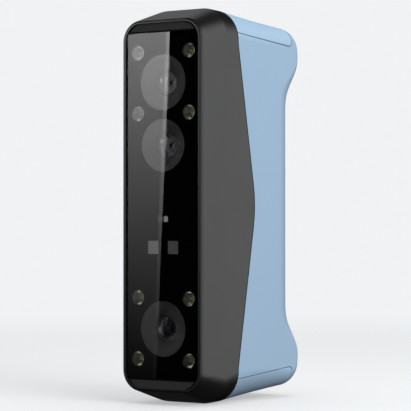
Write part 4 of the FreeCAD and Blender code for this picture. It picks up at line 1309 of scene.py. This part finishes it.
@dataclass
class FillLights:
    """Four reflector cups with their lamps and optics round one camera."""

    finishes: Finishes
    name: str
    rim: float = 2.1
    rim_chamfer: float = 0.12
    chip_front: float = 5.5
    board_front: float = 6.6
    cup_radius: float = 4.2
    mouth: float = 3.75
    mouth_flat: float = 0.1
    throat: float = 1.7
    steps: int = 8
    sides: int = 48
    package_side: float = 2.2
    package_bevel: float = 0.12
    # Radius of each ring and how far it stands off the package
    patch_rings: tuple[Ring, ...] = ((0.98, 0.0), (0.95, 0.12), (0.5, 0.2), (0.0, 0.22))
    dome_radius: float = 1.0
    dome_steps: int = 6
    lamp_sides: int = 32
    optic_gap: float = 0.06
    optic_sink: float = 0.25
    optic_lift: float = 0.15
    # The pocket's depth before the package, and each ring's radius and place from that depth
    pocket: float = 1.45
    pocket_rings: tuple[Ring, ...] = ((0.3, -0.12), (0.75, 0.0), (1.2, 0.35))
    pocket_foot: float = 1.3
    # Radius of each ring of the optic's crown and how far it stands proud
    crown_rings: tuple[Ring, ...] = ((2.6, 0.06), (1.7, 0.14), (0.9, 0.19), (0.0, 0.21))
    places: list[Pair] = field(init=False)

    def __post_init__(self) -> None:
        """Take the four places from the frame."""
        node = self.name + "_light_cups"
        (left, right), (low, high) = (node_span(node, axis) for axis in (0, 2))
        reach = self.cup_radius
        self.places = [(x, z) for x in (left + reach, right - reach) for z in (low + reach, high - reach)]

    def spread(self, label: str, model: bpy.types.Object) -> bpy.types.Object:
        """Copy a model made at the first place to all four.

        Args:
            label: what the piece's name adds to the group's.
            model: the model.

        Returns:
            The four copies in one piece.
        """
        first = self.places[0]
        shifts = [(x - first[0], 0.0, z - first[1]) for x, z in self.places]
        return Bench.repeated(self.name + label, model, shifts)

    def turned(self, label: str, rings: Sequence[Ring], sides: int, capped: bool = False) -> bpy.types.Object:
        """Turn rings about each of the four axes.

        Args:
            label: what the piece's name adds to the group's.
            rings: radius and depth of each ring.
            sides: corners of each ring.
            capped: whether the first ring is closed by a face.

        Returns:
            The four turned copies in one piece.
        """
        model = Bench.turned("model", self.places[0], at_depths(rings), sides, capped=capped)
        return self.spread(label, model)

    def bowl(self, share: float) -> float:
        """Radius of the cup's bowl at a share of its depth."""
        return math.sqrt(self.mouth**2 + (self.throat**2 - self.mouth**2) * share)

    def cups(self) -> None:
        """Bowls of a parabola's form with a thin rim."""
        front, flat = self.rim, self.mouth_flat
        edge = (self.cup_radius, front + self.rim_chamfer)
        rings = [edge, (self.cup_radius - self.rim_chamfer, front), (self.mouth + flat, front)]
        for number in range(self.steps + 1):
            share = number / self.steps
            rings.append((self.bowl(share), front + flat + (self.chip_front - front - flat) * share))
        rings += [(self.throat, self.board_front), (self.cup_radius, self.board_front), edge]
        cups = self.turned("_reflectors", rings, self.sides)
        fit(cups, self.finishes["cup"], (self.name + "_light_cups",))

    def lamps(self) -> None:
        """Ceramic packages with a phosphor patch and a clear dome each."""
        x, z = self.places[0]
        middle = (x, depth((self.chip_front + self.board_front) / 2), z)
        size = (self.package_side, self.board_front - self.chip_front, self.package_side)
        package = self.spread("_lamp_packages", Bench.block("model", middle, size, self.package_bevel))
        fit(package, self.finishes["ceramic"], (self.name + "_lamps",))
        rings = [(radius, self.chip_front - rise) for radius, rise in self.patch_rings]
        patch = self.turned("_phosphors", rings, self.lamp_sides)
        fit(patch, self.finishes["phosphor"])
        rings = []
        for number in range(self.dome_steps + 1):
            angle = math.pi / 2 * number / self.dome_steps
            radius = 0.0 if number == self.dome_steps else self.dome_radius * math.cos(angle)
            rings.append((radius, self.chip_front - self.dome_radius * math.sin(angle)))
        dome = self.turned("_lamp_domes", rings, self.lamp_sides)
        fit(dome, self.finishes["lamp_dome"])

    def optics(self) -> None:
        """Clear cones that fill the cups, with a pocket over each lamp."""
        gap, front, back = self.optic_gap, self.rim + self.optic_sink, self.chip_front - self.optic_lift
        rings = [(radius, self.chip_front - self.pocket + place) for radius, place in self.pocket_rings]
        rings += [(self.pocket_foot, back), (self.throat - gap, back)]
        for number in range(self.steps - 1, 0, -1):
            share = number / self.steps
            rings.append((self.bowl(share) - gap, front + (back - front) * share))
        rings += [
            (self.mouth - gap, front + self.mouth_flat),
            (self.mouth - gap - self.rim_chamfer, front),
        ]
        rings += [(radius, front - rise) for radius, rise in self.crown_rings]
        optics = self.turned("_lamp_optics", rings, self.sides, capped=True)
        fit(optics, self.finishes["lamp_optic"])

    def build(self) -> None:
        """Make the cups, the lamps and their optics."""
        self.cups()
        self.lamps()
        self.optics()


@dataclass
class PushButton:
    """One rear button with a dished crown and a raised mark."""

    finishes: Finishes
    node: str
    symbol: Symbol
    stem: float = 1.5
    stem_tip: float = 0.3
    stem_front: float = 84.5
    flange: float = 0.8
    flange_span: Pair = (85.1, 85.9)
    stand: float = 88.8
    # How far each ring of the shoulder lies in from the widest and forward of the highest
    shoulder: tuple[Ring, ...] = ((0.0, 0.5), (0.07, 0.3), (0.2, 0.1), (0.5, 0.0), (0.8, 0.02), (1.3, 0.12))
    dish: float = 0.28
    dish_rise: float = 0.06
    sides: int = 72
    mark_height: float = 0.16
    mark_root: float = 0.2
    bar: Pair = (3.0, 0.62)
    bar_bevel: float = 0.08
    ring_mark: Pair = (2.0, 2.6)
    ring_chamfer: Pair = (0.1, 0.05)
    ring_sides: int = 48
    middle: Vector = field(init=False)
    radius: float = field(init=False)

    def __post_init__(self) -> None:
        """Take the button's place and width from the frame."""
        low, high = node_span(self.node, 0)
        self.middle = node_middle(self.node)
        self.radius = (high - low) / 2 - self.flange

    def crown(self) -> None:
        """Stem, flange, stalk and dished crown in one turned piece."""
        radius, top = self.radius, self.stand
        front, back = self.flange_span
        floor = top - self.dish
        rings = [(self.stem_tip, self.stem_front), (self.stem, self.stem_front), (self.stem, front)]
        rings += [(radius + self.flange, front), (radius + self.flange, back), (radius, back)]
        rings += [(radius - inwards, top - sunk) for inwards, sunk in self.shoulder]
        rings += [(radius * 0.5, floor + self.dish_rise), (radius * 0.25, floor), (0.0, floor)]
        centre = (self.middle.x, self.middle.z)
        piece = Bench.turned(self.node + "_crown", centre, at_depths(rings), self.sides, capped=True)
        fit(piece, self.finishes["button"], (self.node,), self.node)

    def bars(self) -> bpy.types.Object:
        """One level bar, and an upright one across it on the plus button.

        Returns:
            The mark.
        """
        level = self.stand - self.dish + self.mark_height / 2
        middle = (self.middle.x, depth(level), self.middle.z)
        thick = self.mark_height + self.mark_root
        outlines = [self.bar, self.bar[::-1]] if self.symbol is Symbol.PLUS else [self.bar]
        pieces = [Bench.block("bar", middle, (wide, thick, tall), self.bar_bevel) for wide, tall in outlines]
        return Bench.joined(self.node + "_mark", pieces)

    def ring(self) -> bpy.types.Object:
        """Raised ring.

        Returns:
            The mark.
        """
        inner, outer = self.ring_mark
        inwards, rise = self.ring_chamfer
        level = self.stand - self.dish + self.mark_height / 2
        front, back = level + self.mark_height / 2, level - self.mark_root
        rings = [(inner, back), (inner, front), (inner + inwards, front + rise)]
        rings += [(outer - inwards, front + rise), (outer, front), (outer, back), (inner, back)]
        centre = (self.middle.x, self.middle.z)
        return Bench.turned(self.node + "_mark", centre, at_depths(rings), self.ring_sides)

    def mark(self) -> None:
        """Raised mark in the dish."""
        piece = self.ring() if self.symbol is Symbol.TARGET else self.bars()
        fit(piece, self.finishes["button_mark"], (), self.node)

    def build(self) -> None:
        """Make the crown and its mark."""
        self.crown()
        self.mark()


@dataclass
class ButtonPanel:
    """Rear panel with its light pipe and three buttons."""

    finishes: Finishes
    edge: float = 0.3
    pipe_edge: float = 0.2

    def build(self) -> None:
        """Make the panel and its buttons."""
        panel = Bench.softened("button_panel", "rear_panel", self.edge)
        fit(panel, self.finishes["panel"], ("button_panel",))
        pipe = Bench.softened("status_light", "light_pipe", self.pipe_edge)
        fit(pipe, self.finishes["light_pipe"], ("status_light",))
        for node, symbol in (
            ("plus_button", Symbol.PLUS),
            ("scan_button", Symbol.TARGET),
            ("minus_button", Symbol.MINUS),
        ):
            PushButton(self.finishes, node, symbol).build()


@dataclass
class Underside:
    """Inlet with its contacts, and the threaded tripod insert."""

    finishes: Finishes
    inlet_edge: float = 0.06
    contacts: int = 6
    contact_pitch: float = 0.85
    contact_size: Point = (0.36, 0.06, 2.6)
    contact_bevel: float = 0.02
    # Place of the first row's contacts, back from the inlet's middle and up from its mouth
    contact_place: Pair = (0.37, 2.9)
    row_gap: float = 0.74
    radius: float = 4.2
    groove: float = 3.8
    groove_span: Pair = (4.0, 5.6)
    chamfer: float = 0.2
    mouth_flare: float = 0.35
    # Radii of the small rings that close the bore's floor and the insert's top
    floor_hub: float = 0.2
    top_hub: float = 0.3
    bore: float = 2.55
    bore_length: float = 7.6
    bore_dish: float = 0.05
    thread_turns: int = 5
    thread_pitch: float = 1.27
    thread_depth: float = 0.55
    # Where the thread's root starts and ends in each turn, and how far the first turn is from the floor
    thread_root: Pair = (0.42, 0.58)
    thread_start: float = 0.5
    sides: int = 72

    def inlet(self) -> None:
        """Softened shell, and two rows of contacts on the tongue."""
        shell = Bench.softened("inlet_receptacle", "inlet_shell", self.inlet_edge, 1)
        fit(shell, self.finishes["contact_metal"], ("inlet_receptacle",))
        middle = node_middle("inlet_receptacle")
        mouth, _ = node_span("inlet_receptacle", 2)
        behind, above = self.contact_place
        place = (middle.x, middle.y + behind, mouth + above)
        model = Bench.block("contact", place, self.contact_size, self.contact_bevel)
        reach = (self.contacts - 1) / 2
        shifts = [
            ((number - reach) * self.contact_pitch, -row, 0.0)
            for number in range(self.contacts)
            for row in (0.0, self.row_gap)
        ]
        contacts = Bench.repeated("inlet_contacts", model, shifts)
        fit(contacts, self.finishes["contact_gold"])

    def insert(self) -> None:
        """Brass insert with ridged thread turns in its blind bore."""
        middle = node_middle("tripod_insert")
        low, high = node_span("tripod_insert", 2)
        floor = low + self.bore_length
        start, end = self.thread_root
        rings = [(self.floor_hub, floor), (self.bore, floor - self.bore_dish)]
        for number in range(self.thread_turns):
            level = floor - self.thread_start - self.thread_pitch * number
            rings += [
                (self.bore, level),
                (self.bore + self.thread_depth, level - self.thread_pitch * start),
                (self.bore + self.thread_depth, level - self.thread_pitch * end),
                (self.bore, level - self.thread_pitch),
            ]
        outer, inner = self.radius, self.radius - self.chamfer
        below, above = self.groove_span
        rings += [(self.bore + self.mouth_flare, low), (inner, low), (outer, low + self.chamfer)]
        rings += [(outer, below), (self.groove, below), (self.groove, above), (outer, above)]
        rings += [(outer, high - self.chamfer), (inner, high), (self.top_hub, high), (0.0, high)]
        centre = (middle.x, middle.y)
        piece = Bench.turned("threaded_insert", centre, rings, self.sides, Axis.UPRIGHT, capped=True)
        fit(piece, self.finishes["insert_brass"], ("tripod_insert",))

    def build(self) -> None:
        """Make the underside's pieces."""
        self.inlet()
        self.insert()


@dataclass
class Insides:
    """Finishes of the nodes inside the scanner."""

    finishes: Finishes

    def build(self) -> None:
        """Dress each inner node in the finish of its slot."""
        for entry in frame["record"]["subparts"]:
            node, slot = entry["node"], entry["material_slot"]
            if node in frame["nodes"] and slot in self.finishes.made:
                dress((node,), self.finishes[slot])


@dataclass
class Surroundings:
    """What the world shows: a pale backdrop, panels in polished faces, and an even soft light."""

    ambient: float = 0.46
    from_below: float = 0.08
    right_panel: float = 1.36
    left_panel: float = 1.0
    left_haze: float = 0.25
    ceiling: float = 0.02
    # How much the haze gains at the top
    haze_gain: float = 2.2
    # The panels' sides run along this much of Y for each X
    lean: float = -0.35
    # Each pair is where a panel fades in, on the direction's height or its place across
    right_side: Pair = (-0.1, 0.2)
    left_side: Pair = (-0.35, -0.6)
    right_top: Pair = (0.75, 0.42)
    left_top: Pair = (0.4, 0.15)
    haze_top: Pair = (0.45, 0.75)
    foot: Pair = (-0.36, -0.05)
    horizon: Pair = (-0.3, 0.2)

    def mirrored(self, graph: Graph, place: Sockets) -> Socket:
        """Panels to the right and left under a dim ceiling, which polished faces mirror.

        Args:
            graph: the world's graph.
            place: the direction's X, Y and Z.

        Returns:
            The strength in that direction.
        """
        across = graph.math("MULTIPLY_ADD", place["Y"], self.lean, place["X"])
        height = place["Z"]
        right = graph.between(graph.ramp(height, *self.right_top), 0.0, self.right_panel)
        haze = graph.ramp(height, *self.haze_top)
        haze = graph.between(haze, self.left_haze, self.haze_gain * self.left_haze)
        left = graph.between(graph.ramp(height, *self.left_top), haze, self.left_panel)
        right = graph.math("MULTIPLY", graph.ramp(across, *self.right_side), right)
        left = graph.math("MULTIPLY", graph.ramp(across, *self.left_side), left)
        panels = graph.math("MULTIPLY", graph.math("ADD", right, left), graph.ramp(height, *self.foot))
        return graph.math("ADD", panels, self.ceiling)

    def build(self) -> None:
        """Make the world."""
        world = bpy.data.worlds.new("studio")
        bpy.context.scene.world = world
        world.use_nodes = True
        graph = Graph(world.node_tree)
        shader = next(node for node in world.node_tree.nodes if node.type == "BACKGROUND")
        rays = graph.add("ShaderNodeLightPath").outputs
        parts = graph.add("ShaderNodeSeparateXYZ")
        graph.join(graph.add("ShaderNodeTexCoord").outputs["Generated"], parts.inputs[0])
        mirrored = self.mirrored(graph, parts.outputs)
        soft = graph.between(graph.ramp(parts.outputs["Z"], *self.horizon), self.from_below, self.ambient)
        polished = graph.math("MAXIMUM", rays["Is Glossy Ray"], rays["Is Transmission Ray"])
        lit = graph.between(polished, soft, mirrored)
        strength = graph.between(rays["Is Camera Ray"], lit, BACKDROP)
        graph.join(strength, shader.inputs["Strength"])
        shader.inputs["Color"].default_value = DAYLIGHT


@dataclass
class Floor:
    """Pale floor that fades into the backdrop far from the scanner."""

    colour: Colour = (0.86, 0.865, 0.87)
    roughness: float = 0.7
    spread: float = 0.01
    side: float = 12.0
    behind: float = 3.0
    # Share of the backdrop's glow near the scanner, and where it starts and ends to rise, in metres
    near_glow: float = 0.45
    fade: Pair = (0.2, 1.1)

    def material(self) -> bpy.types.Material:
        """Pale floor paint under a glow that the camera alone sees.

        Returns:
            The material.
        """
        graph = FinishGraph("studio_floor", self.colour)
        graph.set(Roughness=self.roughness)
        graph.tone((*self.colour, 1.0), self.spread)
        reach = graph.vector("LENGTH", graph.place).outputs["Value"]
        far = graph.between(graph.ramp(reach, *self.fade), self.near_glow, 1.0)
        rays = graph.add("ShaderNodeLightPath")
        glow = graph.add("ShaderNodeEmission")
        glow.inputs["Color"].default_value = DAYLIGHT
        glow.inputs["Strength"].default_value = BACKDROP
        graph.surface(graph.math("MULTIPLY", far, rays.outputs["Is Camera Ray"]), glow)
        return graph.material

    def build(self) -> None:
        """Lay the floor."""
        Bench.clear()
        bpy.ops.mesh.primitive_plane_add(size=self.side, location=(0, self.behind, 0))
        floor = Bench.named("studio_floor")
        floor.data.materials.append(self.material())
        floor.visible_glossy = False
        floor.visible_diffuse = False
        floor.visible_shadow = False
        floor.visible_transmission = False


@dataclass(frozen=True)
class SoftLamp:
    """Soft rectangular lamp aimed at the scanner's middle, with its size in metres and its power in watts."""

    name: str
    place: Point
    size: Pair
    power: float
    mirrored: bool = False
    aim: Point = (0.0, 0.0, 100.0)

    def build(self) -> None:
        """Hang the lamp."""
        light = bpy.data.lights.new(self.name, "AREA")
        light.shape = "RECTANGLE"
        light.size, light.size_y = self.size
        light.energy = self.power
        lamp = bpy.data.objects.new(self.name, light)
        lamp.location = Vector(self.place) * MM
        lamp.rotation_euler = (Vector(self.aim) - Vector(self.place)).to_track_quat("-Z", "Y").to_euler()
        lamp.visible_camera = False
        lamp.visible_glossy = self.mirrored
        bpy.context.scene.collection.objects.link(lamp)


@dataclass(frozen=True)
class BlackCloth:
    """Black cloth on a card."""

    name: str = "black_card"

    def make(self) -> bpy.types.Material:
        """Build the material.

        Returns:
            The material.
        """
        graph = FinishGraph(self.name, (0.0, 0.0, 0.0))
        graph.set(Roughness=1.0, Specular_IOR_Level=0.0)
        return graph.material


@dataclass(frozen=True)
class SoftGlow:
    """Glow that fades towards the floor, with its strength in polished faces and behind the glass."""

    name: str
    mirrored: float
    behind: float = 14.0
    # The glow's level at the floor and its rise for each metre above it
    foot: float = 0.098
    slope: float = 1.38
    power: float = 2.2

    def make(self) -> bpy.types.Material:
        """Build the material.

        Returns:
            The material.
        """
        graph = FinishGraph(self.name, (0.0, 0.0, 0.0))
        parts = graph.add("ShaderNodeSeparateXYZ")
        graph.join(graph.place, parts.inputs[0])
        level = graph.math("MULTIPLY_ADD", parts.outputs["Z"], self.slope, self.foot)
        glow = graph.math("POWER", graph.math("MAXIMUM", level, 0.0), self.power)
        rays = graph.add("ShaderNodeLightPath")
        strength = graph.between(rays.outputs["Is Transmission Ray"], self.mirrored, self.behind)
        shine = graph.add("ShaderNodeEmission")
        graph.join(graph.math("MULTIPLY", glow, strength), shine.inputs["Strength"])
        graph.join(shine.outputs[0], graph.output.inputs["Surface"])
        return graph.material


@dataclass(frozen=True)
class Card:
    """Upright card across the scanner's front or rear, leaning by some degrees, that polished faces mirror."""

    name: str
    middle: Point
    size: Pair
    lean: float = 0.0
    seen_through: bool = True

    def build(self, material: bpy.types.Material) -> None:
        """Stand the card up.

        Args:
            material: what covers it.
        """
        Bench.clear()
        bpy.ops.mesh.primitive_plane_add(size=1, rotation=(math.pi / 2, 0, 0))
        card = Bench.named(self.name)
        card.data.transform(Matrix.Diagonal((self.size[0] * MM, 1, self.size[1] * MM, 1)))
        card.data.transform(Matrix.Rotation(math.radians(self.lean), 4, "Y"))
        card.data.transform(Matrix.Translation(Vector(self.middle) * MM))
        card.data.materials.append(material)
        card.visible_camera = False
        card.visible_diffuse = False
        card.visible_shadow = False
        card.visible_transmission = self.seen_through


@dataclass
class Studio:
    """Surroundings, floor, soft lamps, the cards that polished faces mirror, and the camera."""

    lamps: tuple[SoftLamp, ...] = (
        SoftLamp("side_lamp", (1100, -260, 560), (0.9, 0.9), 13.6),
        SoftLamp("top_lamp", (60, 60, 1250), (1.0, 1.0), 7.0),
        SoftLamp("left_lamp", (-1920, -1384, 540), (0.2, 0.24), 6.4, mirrored=True),
    )
    black_cards: tuple[Card, ...] = (
        Card("front_flag", (-210, -560, 150), (700, 1500)),
        Card("outer_flag", (-830, -560, 150), (540, 1500), seen_through=False),
        Card("rear_flag", (-200, 900, 150), (760, 1500), seen_through=False),
    )
    # A broad glow on the left part of the black card, with a brighter line along its edge
    glow_cards: tuple[tuple[Card, SoftGlow], ...] = (
        (Card("glow_card", (-395.9, -495, 88), (120, 470), 2.85), SoftGlow("glow_card", 24.0)),
        (Card("glow_border", (-337.5, -494.5, 85.1), (3.2, 470), 2.85), SoftGlow("glow_border", 38.0)),
    )
    camera_place: Point = (608.9, -860.9, 90.0)
    camera_view: Point = (-0.5807, 0.8141, 0.0105)
    focal_pixels: float = 2020.0
    picture_side: float = 411.0
    sensor: float = 36.0
    clip: Pair = (0.01, 50.0)

    def cards(self) -> None:
        """Stand up the cards."""
        cloth = BlackCloth().make()
        for card in self.black_cards:
            card.build(cloth)
        for card, glow in self.glow_cards:
            card.build(glow.make())

    def camera(self) -> None:
        """Camera at the photograph's place."""
        lens = bpy.data.cameras.new("camera")
        lens.sensor_width = self.sensor
        lens.lens = self.sensor * self.focal_pixels / self.picture_side
        lens.clip_start, lens.clip_end = self.clip
        camera = bpy.data.objects.new("camera", lens)
        camera.location = Vector(self.camera_place) * MM
        camera.rotation_euler = Vector(self.camera_view).to_track_quat("-Z", "Y").to_euler()
        bpy.context.scene.collection.objects.link(camera)
        bpy.context.scene.camera = camera

    def build(self) -> None:
        """Set up the whole studio."""
        bpy.context.scene.view_settings.view_transform = "Standard"
        Surroundings().build()
        Floor().build()
        for lamp in self.lamps:
            lamp.build()
        self.cards()
        self.camera()


def main() -> None:
    """Build the scanner's sub-assemblies and the studio in order."""
    logging.basicConfig(level=logging.INFO, format="%(name)s %(message)s", stream=sys.stdout)
    finishes = Finishes()
    Insides(finishes).build()
    Shells(finishes).build()
    FrontWindow(finishes).build()
    for name in CAMERAS:
        CameraBay(finishes, name).build()
    for name in LIGHT_GROUPS:
        FillLights(finishes, name).build()
    ButtonPanel(finishes).build()
    Underside(finishes).build()
    Studio().build()


if __name__ == "__main__":
    main()
